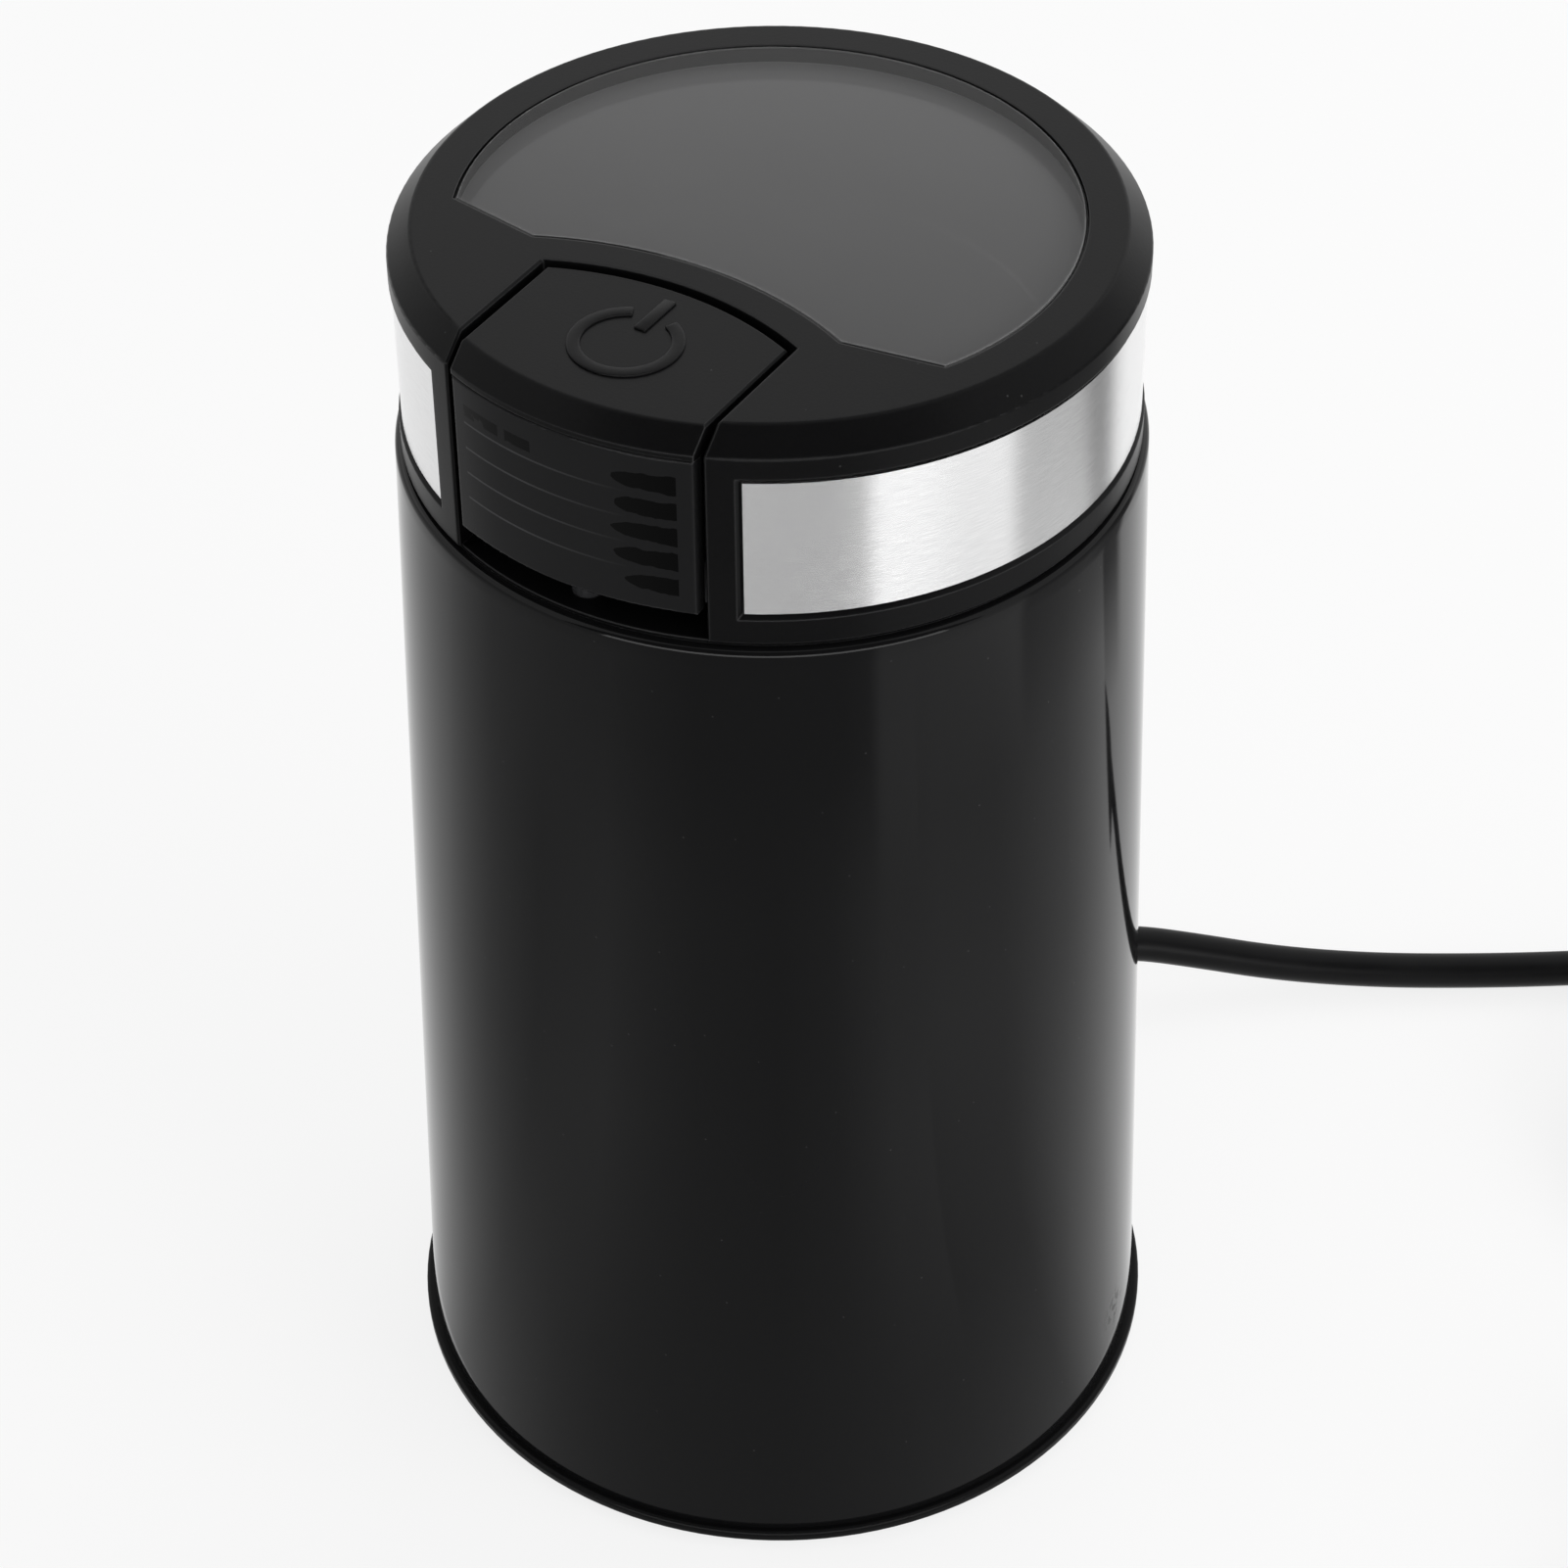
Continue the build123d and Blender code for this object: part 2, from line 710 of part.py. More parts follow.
# Domed blade nut, closed over the end of the shaft.
with BuildPart() as blade_nut:
    with BuildSketch(Plane.XY.offset(blade_top)):
        Circle(nut_radius)
    extrude(amount=nut_height)
    fillet(blade_nut.edges().filter_by(GeomType.CIRCLE).group_by(Axis.Z)[-1], 2.0)
    with BuildSketch(Plane.XY.offset(blade_top)):
        Circle(shaft_radius)
    extrude(amount=shaft_top - blade_top, mode=Mode.SUBTRACT)
blade_nut.part.label = "blade_nut"
export_step(blade_nut.part, "parts/blade_nut.step")

# Upper motor bracket: a bridge on two legs over the stator, with the bearing seat.
with BuildPart() as upper_bracket:
    with BuildSketch(Plane.XY.offset(bracket_bottom)):
        Rectangle(2 * stator_radius, 2 * bracket_half_width)
    extrude(amount=bracket_thickness)
    with BuildSketch(Plane.XY.offset(stator_top)):
        with Locations((-bolt_x, 0), (bolt_x, 0)):
            Rectangle(2 * yoke_width, 2 * bracket_half_width)
    extrude(amount=leg_drop)
    with BuildSketch(Plane.XY.offset(bracket_top - bearing_height)):
        Circle(bracket_boss)
    extrude(amount=bearing_height)
    with BuildSketch(Plane.XY.offset(stator_top)):
        Circle(stator_radius)
    extrude(amount=bracket_top - stator_top, mode=Mode.INTERSECT)
    with BuildSketch(Plane.XY.offset(stator_top)):
        with Locations((-bolt_x, 0), (bolt_x, 0), (-mount_x, 0), (mount_x, 0)):
            Circle(screw_radius + screw_gap)
        Circle(bearing_radius)
    extrude(amount=bracket_top - stator_top, mode=Mode.SUBTRACT)
upper_bracket.part.label = "upper_bracket"
export_step(upper_bracket.part, "parts/upper_bracket.step")

# Upper bearing: a plain bush in the upper bracket.
with BuildPart() as upper_bearing:
    with BuildSketch(Plane.XY.offset(bracket_top - bearing_height)):
        Circle(bearing_radius)
        Circle(shaft_radius + running_gap, mode=Mode.SUBTRACT)
    extrude(amount=bearing_height)
upper_bearing.part.label = "upper_bearing"
export_step(upper_bearing.part, "parts/upper_bearing.step")

holder_inner = commutator_radius + 0.8
brush_arm = holder_inner + holder_length + brush_arm_rest

# Lower motor bracket: a cross with two tall legs up to the stator; its other
# two arms carry the brush holders.
with BuildPart() as lower_bracket:
    with BuildSketch(Plane.XY.offset(lower_bottom)):
        Rectangle(2 * stator_radius, 2 * bracket_half_width)
        Rectangle(2 * bracket_half_width, 2 * brush_arm)
    extrude(amount=bracket_thickness)
    with BuildSketch(Plane.XY.offset(lower_top)):
        with Locations((-bolt_x, 0), (bolt_x, 0)):
            Rectangle(2 * yoke_width, 2 * bracket_half_width)
    extrude(amount=stator_bottom - lower_top)
    with BuildSketch(Plane.XY.offset(bearing_bottom)):
        Circle(bracket_boss)
    extrude(amount=lower_top - bearing_bottom)
    with BuildSketch(Plane.XY.offset(bearing_bottom)):
        Circle(stator_radius)
    extrude(amount=stator_bottom - bearing_bottom, mode=Mode.INTERSECT)
    with BuildSketch(Plane.XY.offset(bearing_bottom)):
        with Locations((-bolt_x, 0), (bolt_x, 0)):
            Circle(screw_radius + screw_gap)
        Circle(bearing_radius)
    extrude(amount=stator_bottom - bearing_bottom, mode=Mode.SUBTRACT)
lower_bracket.part.label = "lower_bracket"
export_step(lower_bracket.part, "parts/lower_bracket.step")

# Lower bearing: a plain bush in the lower bracket.
with BuildPart() as lower_bearing:
    with BuildSketch(Plane.XY.offset(bearing_bottom + 0.5)):
        Circle(bearing_radius)
        Circle(shaft_radius + running_gap, mode=Mode.SUBTRACT)
    extrude(amount=bearing_height)
lower_bearing.part.label = "lower_bearing"
export_step(lower_bearing.part, "parts/lower_bearing.step")

# Stator core: a stack with a round yoke and two poles bored out for the armature.
with BuildPart() as stator_core:
    with BuildSketch(Plane.XY.offset(stator_bottom)):
        Circle(stator_radius)
        Circle(yoke_inner, mode=Mode.SUBTRACT)
        with Locations((0, -yoke_inner / 2 - 1), (0, yoke_inner / 2 + 1)):
            Rectangle(2 * pole_half_width, yoke_inner)
        Circle(bore_radius, mode=Mode.SUBTRACT)
        with Locations((-bolt_x, 0), (bolt_x, 0)):
            Circle(screw_radius + screw_gap, mode=Mode.SUBTRACT)
    extrude(amount=stator_height)
stator_core.part.label = "stator_core"
export_step(stator_core.part, "parts/stator_core.step")

# Field coils: a thick wound frame round each pole of the stator.
with BuildPart() as field_coils:
    with BuildSketch(Plane.XZ.offset(coil_inner)):
        with Locations((0, stator_bottom + stator_height / 2)):
            RectangleRounded(
                2 * (pole_half_width + clear + coil_width),
                stator_height + 2 * (clear + coil_width),
                5,
            )
            Rectangle(2 * (pole_half_width + clear), stator_height + 2 * clear, mode=Mode.SUBTRACT)
    extrude(amount=coil_thickness)
    mirror(about=Plane.XZ)
field_coils.part.label = "field_coils"
export_step(field_coils.part, "parts/field_coils.step")

# Armature core: a slotted stack on the shaft.
with BuildPart() as armature_core:
    with BuildSketch(Plane.XY.offset(stator_bottom)):
        Circle(bore_radius - air_gap)
        with PolarLocations(bore_radius - air_gap - 2.5, slot_count):
            Rectangle(6, 1.8, mode=Mode.SUBTRACT)
        Circle(shaft_radius, mode=Mode.SUBTRACT)
    extrude(amount=stator_height)
armature_core.part.label = "armature_core"
export_step(armature_core.part, "parts/armature_core.step")

# Armature windings: the wire heads at both ends of the core.
with BuildPart() as armature_windings:
    with BuildSketch(Plane.XY.offset(stator_top)):
        Circle(bore_radius - 3)
        Circle(shaft_radius + 2, mode=Mode.SUBTRACT)
    extrude(amount=upper_head)
    with BuildSketch(Plane.XY.offset(stator_bottom)):
        Circle(bore_radius - 3)
        Circle(shaft_radius + 2, mode=Mode.SUBTRACT)
    extrude(amount=-end_turn)
    fillet(armature_windings.edges().filter_by(GeomType.CIRCLE).group_by(Axis.Z)[-1], 1.2)
    fillet(armature_windings.edges().filter_by(GeomType.CIRCLE).group_by(Axis.Z)[0], 1.2)
armature_windings.part.label = "armature_windings"
export_step(armature_windings.part, "parts/armature_windings.step")

# Commutator: a slotted copper drum on the shaft.
with BuildPart() as commutator:
    with BuildSketch(Plane.XY.offset(commutator_bottom)):
        Circle(commutator_radius)
        with PolarLocations(commutator_radius, 2 * slot_count):
            Rectangle(2.4, 0.5, mode=Mode.SUBTRACT)
        Circle(shaft_radius, mode=Mode.SUBTRACT)
    extrude(amount=commutator_height)
commutator.part.label = "commutator"
export_step(commutator.part, "parts/commutator.step")

# Cooling fan below the motor: a hub, a disc and straight blades.
with BuildPart() as cooling_fan:
    with BuildSketch(Plane.XY.offset(fan_bottom)):
        Circle(6)
    extrude(amount=fan_height)
    with BuildSketch(Plane.XY.offset(fan_top - 1.4)):
        Circle(fan_radius)
    extrude(amount=1.4)
    with BuildSketch(Plane.XY.offset(fan_bottom)):
        with PolarLocations(fan_radius / 2 + 2.5, fan_blades):
            Rectangle(fan_radius - 5, 1.4)
    extrude(amount=fan_height - 1)
    with BuildSketch(Plane.XY.offset(fan_bottom)):
        Circle(shaft_radius)
    extrude(amount=fan_height, mode=Mode.SUBTRACT)
cooling_fan.part.label = "cooling_fan"
export_step(cooling_fan.part, "parts/cooling_fan.step")

# Brush holders: two boxes on the lower bracket, open towards the commutator.
brush_middle = lower_top + holder_wall + brush_height / 2 + slip
with BuildPart() as brush_holders:
    with BuildSketch(Plane.XZ.offset(holder_inner)):
        with Locations((0, lower_top + holder_wall + brush_height / 2 + slip)):
            Rectangle(brush_width + 2 * holder_wall, brush_height + 2 * (holder_wall + slip))
    extrude(amount=holder_length)
    with BuildSketch(Plane.XZ.offset(holder_inner)):
        with Locations((0, brush_middle)):
            Rectangle(brush_width + 2 * slip, brush_height + 2 * slip)
    extrude(amount=holder_length - 1, mode=Mode.SUBTRACT)
    mirror(about=Plane.XZ)
brush_holders.part.label = "brush_holders"
export_step(brush_holders.part, "parts/brush_holders.step")

# Carbon brushes, just clear of the commutator.
with BuildPart() as carbon_brushes:
    with BuildSketch(Plane.XZ.offset(commutator_radius + 0.2)):
        with Locations((0, brush_middle)):
            Rectangle(brush_width, brush_height)
    extrude(amount=brush_length)
    mirror(about=Plane.XZ)
carbon_brushes.part.label = "carbon_brushes"
export_step(carbon_brushes.part, "parts/carbon_brushes.step")

# Brush springs behind the brushes.
brush_back = commutator_radius + 0.2 + brush_length
brush_spring_length = holder_inner + holder_length - 1 - brush_back - 2 * spring_wire
with BuildPart() as brush_springs:
    with BuildLine() as brush_spring_path:
        lay_spring(
            Vector(0, -brush_back - spring_wire, brush_middle),
            Vector(0, -1, 0),
            Vector(1, 0, 0),
            brush_spring_radius,
            brush_spring_length,
            3,
        )
    with BuildSketch(Plane(origin=brush_spring_path.line @ 0, z_dir=brush_spring_path.line % 0)):
        Circle(spring_wire)
    sweep()
    mirror(about=Plane.XZ)
brush_springs.part.label = "brush_springs"
export_step(brush_springs.part, "parts/brush_springs.step")

# Two through bolts hold brackets and stator together.
with BuildPart() as motor_bolts:
    with BuildSketch(Plane.XY.offset(lower_bottom)):
        with Locations((-bolt_x, 0), (bolt_x, 0)):
            Circle(screw_radius)
    extrude(amount=bracket_top - lower_bottom + 2)
    with BuildSketch(Plane.XY.offset(lower_bottom - head_height)):
        with Locations((-bolt_x, 0), (bolt_x, 0)):
            Circle(base_head_radius)
    extrude(amount=head_height)
    with BuildSketch(Plane.XY.offset(bracket_top)):
        with Locations((-bolt_x, 0), (bolt_x, 0)):
            RegularPolygon(2.8, 6)
    extrude(amount=head_height)
motor_bolts.part.label = "motor_bolts"
export_step(motor_bolts.part, "parts/motor_bolts.step")

# Two screws hang the motor from the floor of the bowl housing.
with BuildPart() as mount_screws:
    with BuildSketch(Plane.XY.offset(bracket_bottom - head_height)):
        with Locations((-mount_x, 0), (mount_x, 0)):
            Circle(base_head_radius)
    extrude(amount=head_height)
    with BuildSketch(Plane.XY.offset(bracket_bottom)):
        with Locations((-mount_x, 0), (mount_x, 0)):
            Circle(screw_radius)
    extrude(amount=cup_top - bracket_bottom)
mount_screws.part.label = "mount_screws"
export_step(mount_screws.part, "parts/mount_screws.step")

# Rubber grommets between the motor and the bowl housing.
with BuildPart() as mount_grommets:
    with BuildSketch(Plane.XY.offset(bracket_top)):
        with Locations((-mount_x, 0), (mount_x, 0)):
            Circle(grommet_radius)
            Circle(screw_radius + screw_gap, mode=Mode.SUBTRACT)
    extrude(amount=grommet_height)
mount_grommets.part.label = "mount_grommets"
export_step(mount_grommets.part, "parts/mount_grommets.step")

# Micro switch under the push rod, with two ears for the lever's pin.
switch_y = -switch_back - switch_depth / 2
hinge_z = switch_top + hinge_height
switch_x = hinge_x - switch_length / 2 + 1.3
with BuildPart() as micro_switch:
    with BuildSketch(Plane.XY.offset(switch_top - switch_height)):
        with Locations((switch_x, switch_y)):
            Rectangle(switch_length, switch_depth)
    extrude(amount=switch_height)
    with BuildSketch(Plane.XY.offset(switch_top)):
        ear_reach = lever_width / 2 + 0.6
        with Locations((hinge_x, switch_y - ear_reach), (hinge_x, switch_y + ear_reach)):
            Rectangle(2.6, 0.6)
    extrude(amount=1.9)
    with BuildSketch(Plane.XZ.offset(-switch_y + switch_depth)):
        with Locations((hinge_x, hinge_z + 0.25)):
            Circle(hinge_pin + sliding_gap)
    extrude(amount=-2 * switch_depth, mode=Mode.SUBTRACT)
    with BuildSketch(Plane.XY.offset(switch_top - switch_height)):
        with Locations((switch_x - 4, switch_y), (switch_x + 4, switch_y)):
            Rectangle(1.8, 0.6)
    extrude(amount=-3)
    with BuildSketch(Plane.XZ.offset(switch_back - 1)):
        with Locations(*switch_holes):
            Circle(small_screw_radius + running_gap)
    extrude(amount=switch_depth + 3, mode=Mode.SUBTRACT)
micro_switch.part.label = "micro_switch"
export_step(micro_switch.part, "parts/micro_switch.step")

# Two small screws hold the switch on its plate.
with BuildPart() as switch_screws:
    with BuildSketch(Plane.XZ.offset(switch_back - 1.8)):
        with Locations(*switch_holes):
            Circle(small_screw_radius)
    extrude(amount=switch_depth + 1.8)
    with BuildSketch(Plane.XZ.offset(switch_back + switch_depth)):
        with Locations(*switch_holes):
            Circle(small_head_radius)
    extrude(amount=0.8)
switch_screws.part.label = "switch_screws"
export_step(switch_screws.part, "parts/switch_screws.step")

# Switch lever: a thin sloping strip on a pin, pressed down by the rod.
lever_rise = lever_length * tan(radians(lever_slope))
pin_z = hinge_z + 0.25
with BuildPart() as switch_lever:
    with BuildSketch(Plane.XZ.offset(-switch_y)):
        with BuildLine():
            Polyline(
                (hinge_x, pin_z - lever_thickness / 2),
                (hinge_x, pin_z + lever_thickness / 2),
                (hinge_x - lever_length, pin_z + lever_rise + lever_thickness / 2),
                (hinge_x - lever_length, pin_z + lever_rise - lever_thickness / 2),
                close=True,
            )
        make_face()
    extrude(amount=lever_width / 2, both=True)
    with BuildSketch(Plane.XZ.offset(-switch_y)):
        with Locations((hinge_x, pin_z)):
            Circle(hinge_pin)
    extrude(amount=lever_width / 2 + 0.8, both=True)
switch_lever.part.label = "switch_lever"
export_step(switch_lever.part, "parts/switch_lever.step")

# Push rod: runs down outside the cup from the button's leg to the lever.
lever_under_rod = pin_z + hinge_x * tan(radians(lever_slope)) + lever_thickness / 2
rod_bottom = lever_under_rod + rod_radius * tan(radians(lever_slope)) + clear
shoulder_bottom = cup_top + guide_height + rod_spring_length
with BuildPart() as push_rod:
    with BuildSketch(Plane.XY.offset(rod_bottom)):
        with Locations((0, -rod_ring)):
            Circle(rod_radius)
    extrude(amount=rod_top - rod_bottom)
    with BuildSketch(Plane.XY.offset(shoulder_bottom)):
        with Locations((0, -rod_ring)):
            Circle(shoulder_radius)
    extrude(amount=shoulder_height)
    fillet(push_rod.edges().filter_by(GeomType.CIRCLE).group_by(Axis.Z)[-1], 0.4)
push_rod.part.label = "push_rod"
export_step(push_rod.part, "parts/push_rod.step")

# Rod spring between the guide and the rod's shoulder.
with BuildPart() as rod_spring:
    with BuildLine() as rod_spring_path:
        lay_spring(
            Vector(0, -rod_ring, cup_top + guide_height + spring_wire),
            Vector(0, 0, 1),
            Vector(1, 0, 0),
            rod_radius + 2 * spring_wire,
            rod_spring_length - 2 * spring_wire,
            8,
        )
    with BuildSketch(Plane(origin=rod_spring_path.line @ 0, z_dir=rod_spring_path.line % 0)):
        Circle(spring_wire)
    sweep()
rod_spring.part.label = "rod_spring"
export_step(rod_spring.part, "parts/rod_spring.step")

# Lid cover: flat top, bevelled shoulder and skirt, with the aperture of the
# pane, the opening of the button and the shallow bed of the steel band.
with BuildPart() as lid_cover:
    with BuildSketch(Plane.XZ) as cover_profile:
        with BuildLine():
            Polyline(
                (0, plate_bottom),
                (0, lid_top),
                (lid_flat, lid_top),
                (lid_radius, lid_top - lid_chamfer),
                (lid_radius, lid_bottom + lid_edge),
                (lid_radius - lid_edge, lid_bottom),
                (lid_inner, lid_bottom),
                (lid_inner, flange_bottom),
                (pane_radius + pane_flange + clear, flange_bottom),
                (pane_radius + pane_flange + clear, plate_bottom),
                close=True,
            )
        make_face()
        crown = cover_profile.vertices().sort_by_distance((lid_flat, lid_top, 0))[0]
        fillet(crown, 0.5)
        shoulder = cover_profile.vertices().sort_by_distance((lid_radius, lid_top - lid_chamfer, 0))[0]
        fillet(shoulder, 0.5)
    revolve(axis=Axis.Z)
    with BuildSketch(Plane.XY.offset(band_bottom)):
        Circle(lid_radius + 2)
        Circle(lid_radius - band_depth, mode=Mode.SUBTRACT)
        with BuildLine():
            front_x = beyond * tan(radians(band_half_angle))
            Polyline((0, 0), (front_x, -beyond), (-front_x, -beyond), close=True)
        make_face(mode=Mode.SUBTRACT)
    extrude(amount=band_height, mode=Mode.SUBTRACT)
    border = lid_cover.edges().filter_by(
        lambda edge: all(
            abs(Vector(corner.X, corner.Y).length - lid_radius) < slip
            and band_bottom - slip < corner.Z < band_bottom + band_height + slip
            for corner in edge.vertices()
        )
    )
    chamfer(border, bed_bevel)
    with BuildSketch(Plane.XY.offset(plate_bottom)):
        window_outline()
    extrude(amount=lid_plate, mode=Mode.SUBTRACT)
    with BuildSketch(Plane.XY.offset(lid_bottom)):
        button_outline(button_gap, beyond)
    extrude(amount=lid_top - lid_bottom, mode=Mode.SUBTRACT)
    pillars = lid_cover.edges().filter_by(Axis.Z).filter_by(
        lambda edge: abs(edge.center().X) < button_half_width + button_gap + slip
        and abs(Vector(edge.center().X, edge.center().Y).length - lid_radius) < slip
    )
    chamfer(pillars, pillar_edge)
lid_cover.part.label = "lid_cover"
export_step(lid_cover.part, "parts/lid_cover.step")

# Steel band: a thin strip bent round the skirt, open at the front.
with BuildPart() as steel_band:
    with BuildSketch(Plane.XY.offset(band_bottom + slip)):
        Circle(lid_radius - band_depth + slip + band_thickness)
        Circle(lid_radius - band_depth + slip, mode=Mode.SUBTRACT)
        with BuildLine():
            end_x = beyond * tan(radians(band_half_angle + band_end_slack))
            Polyline((0, 0), (end_x, -beyond), (-end_x, -beyond), close=True)
        make_face(mode=Mode.SUBTRACT)
    extrude(amount=band_height - 2 * slip)
steel_band.part.label = "steel_band"
export_step(steel_band.part, "parts/steel_band.step")

# Smoked pane: fills the aperture flush with the top, on a wider flange below.
with BuildPart() as lid_window:
    with BuildSketch(Plane.XY.offset(plate_bottom)):
        window_outline()
        offset(amount=-slip)
    extrude(amount=lid_plate)
    chamfer(lid_window.faces().sort_by(Axis.Z)[-1].edges(), pane_edge)
    with BuildSketch(Plane.XY.offset(flange_bottom)):
        window_outline()
        offset(amount=pane_flange)
    extrude(amount=pane_flange_thickness)
lid_window.part.label = "lid_window"
export_step(lid_window.part, "parts/lid_window.step")

# Lid liner: a ring that holds the pane up from below, drops over the collar's
# upstand to centre the lid, and carries the bay in which the button slides.
liner_inner = bowl_outer + liner_inner_gap
with BuildPart() as lid_liner:
    with BuildSketch(Plane.XZ):
        with BuildLine():
            Polyline(
                (liner_inner, bowl_rim_top + clear),
                (upstand_outer + 0.5, bowl_rim_top + clear),
                (upstand_outer + 0.5, liner_skirt_bottom),
                (upstand_outer + 0.5 + liner_skirt, liner_skirt_bottom),
                (upstand_outer + 0.5 + liner_skirt, flange_bottom - liner_flange),
                (lid_inner - slip, flange_bottom - liner_flange),
                (lid_inner - slip, flange_bottom),
                (liner_inner, flange_bottom),
                close=True,
            )
        make_face()
    revolve(axis=Axis.Z)
    with BuildSketch(Plane.XY.offset(bay_floor - bay_wall)):
        button_outline(button_gap + bay_wall, upstand_outer + 0.4)
    extrude(amount=flange_bottom - bay_floor + bay_wall)
    with BuildSketch(Plane.XY.offset(bay_floor)):
        button_outline(button_gap, beyond)
    extrude(amount=flange_bottom - bay_floor, mode=Mode.SUBTRACT)
    with BuildSketch(Plane.XY.offset(liner_skirt_bottom)):
        with Locations((0, -upstand_outer - 0.4 - 10)):
            Rectangle(2 * (button_half_width + button_gap), 20)
    extrude(amount=flange_bottom - liner_skirt_bottom, mode=Mode.SUBTRACT)
    with BuildSketch(Plane.XY.offset(bay_floor)):
        with Locations((-button_spring_x, -button_spring_y), (button_spring_x, -button_spring_y)):
            Circle(stud_radius)
    extrude(amount=stud_height)
lid_liner.part.label = "lid_liner"
export_step(lid_liner.part, "parts/lid_liner.step")

# Power button: a cap that continues the lid's top and shoulder, with a back
# wall behind the panel, a leg above the push rod and studs for its springs.
cap_inside = lid_top - button_plate
wall_outer = lid_radius - panel_thickness - rib_depth - slip
with BuildPart() as power_button:
    with BuildSketch(Plane.XY.offset(cap_bottom)):
        button_outline(0, beyond)
    extrude(amount=cap_top - cap_bottom)
    chamfer(power_button.faces().sort_by(Axis.Z)[-1].edges(), cap_edge)
    with BuildSketch(Plane.XZ) as cap_profile:
        with BuildLine():
            Polyline(
                (0, cap_bottom),
                (0, cap_top),
                (lid_flat + sign_relief, cap_top),
                (lid_radius, lid_top - lid_chamfer),
                (lid_radius, cap_bottom),
                close=True,
            )
        make_face()
        crown = cap_profile.vertices().sort_by_distance((lid_flat + sign_relief, cap_top, 0))[0]
        fillet(crown, 0.5)
        brow = cap_profile.vertices().sort_by_distance((lid_radius, cap_bottom, 0))[0]
        fillet(brow, cap_edge)
    revolve(axis=Axis.Z, mode=Mode.INTERSECT)
    with BuildSketch(Plane.XY.offset(cap_bottom)):
        button_outline(-1.6, wall_outer - 3.6)
    extrude(amount=cap_inside - cap_bottom, mode=Mode.SUBTRACT)
    with BuildSketch(Plane.XY.offset(rod_top + clear + 0.6)):
        Circle(wall_outer)
        Circle(wall_outer - 1.4, mode=Mode.SUBTRACT)
        with Locations((0, -wall_outer)):
            Rectangle(2 * (button_half_width - 0.4), 14, mode=Mode.INTERSECT)
    extrude(amount=cap_bottom - rod_top - clear - 0.6)
    with BuildSketch(Plane.XY.offset(rod_top + clear)):
        with Locations((0, -rod_ring)):
            Rectangle(2 * leg_half_width, leg_depth)
    extrude(amount=cap_inside - rod_top - clear)
    with BuildSketch(Plane.XY.offset(cap_inside - stud_height)):
        with Locations((-button_spring_x, -button_spring_y), (button_spring_x, -button_spring_y)):
            Circle(stud_radius)
    extrude(amount=stud_height)
power_button.part.label = "power_button"
export_step(power_button.part, "parts/power_button.step")

# Button panel: the smoked plate below the cap, with a frame and ribs behind it.
rib_room = cap_bottom - panel_bottom - 2 * panel_frame
with BuildPart() as button_panel:
    with BuildSketch(Plane.XY.offset(panel_bottom)):
        Circle(lid_radius)
        Circle(lid_radius - panel_thickness, mode=Mode.SUBTRACT)
        with Locations((0, -lid_radius)):
            Rectangle(2 * (button_half_width - slip), 20, mode=Mode.INTERSECT)
    extrude(amount=cap_bottom - panel_bottom)
    front = button_panel.edges().filter_by(
        lambda edge: all(
            abs(Vector(corner.X, corner.Y).length - lid_radius) < slip for corner in edge.vertices()
        )
    )
    fillet(front, panel_edge)
    for rib in range(rib_count):
        rib_z = panel_bottom + panel_frame + rib_room * (rib + 1) / (rib_count + 1) - rib_height / 2
        with BuildSketch(Plane.XY.offset(rib_z)):
            Circle(lid_radius - panel_thickness + slip)
            Circle(lid_radius - panel_thickness - rib_depth, mode=Mode.SUBTRACT)
            with Locations((0, -lid_radius)):
                Rectangle(2 * (button_half_width - 1), 20, mode=Mode.INTERSECT)
        extrude(amount=rib_height)
button_panel.part.label = "button_panel"
export_step(button_panel.part, "parts/button_panel.step")

# Two springs lift the button from the floor of its bay.
button_spring_length = cap_inside - bay_floor
with BuildPart() as button_springs:
    with BuildLine() as button_spring_path:
        lay_spring(
            Vector(button_spring_x, -button_spring_y, bay_floor + spring_wire),
            Vector(0, 0, 1),
            Vector(1, 0, 0),
            stud_radius + 2.5 * spring_wire,
            button_spring_length - 2 * spring_wire,
            4,
        )
    with BuildSketch(Plane(origin=button_spring_path.line @ 0, z_dir=button_spring_path.line % 0)):
        Circle(spring_wire)
    sweep()
    mirror(about=Plane.YZ)
button_springs.part.label = "button_springs"
export_step(button_springs.part, "parts/button_springs.step")

# Strain relief: flanged into the shell's cord hole, then a tapered sleeve that
# bends aside with the cord.
shell_slope = (shell_bottom_radius - shell_top_radius) / (shell_top - shell_bottom)
shell_rear = shell_bottom_radius - shell_slope * (cord_exit_z - shell_bottom)
relief_inner = shell_rear - shell_wall - 0.5
bend_start = shell_rear + 1.4
with BuildPart() as strain_relief:
    with BuildSketch(Plane.XZ.offset(-relief_inner)):
        with Locations((0, cord_exit_z)):
            Circle(relief_flange)
    extrude(amount=2)
    with BuildSketch(Plane.XZ.offset(-relief_inner)):
        with Locations((0, cord_exit_z)):
            Circle(relief_neck)
    extrude(amount=relief_inner - bend_start)
    with BuildSketch(Plane.XZ.offset(-shell_rear - clear)):
        with Locations((0, cord_exit_z)):
            Circle(relief_flange + 0.4)
    extrude(amount=shell_rear + clear - bend_start)
    for part_way in [0, 0.34, 0.67, 1]:
        angle = radians(relief_turn * part_way)
        place = (relief_bend * (1 - cos(angle)), bend_start + relief_bend * sin(angle), cord_exit_z)
        across = (cos(angle), -sin(angle), 0)
        onward = (sin(angle), cos(angle), 0)
        with BuildSketch(Plane(origin=place, x_dir=across, z_dir=onward)):
            Circle(relief_root + (relief_tip - relief_root) * part_way)
    loft()
strain_relief.part.label = "strain_relief"
export_step(strain_relief.part, "parts/strain_relief.step")

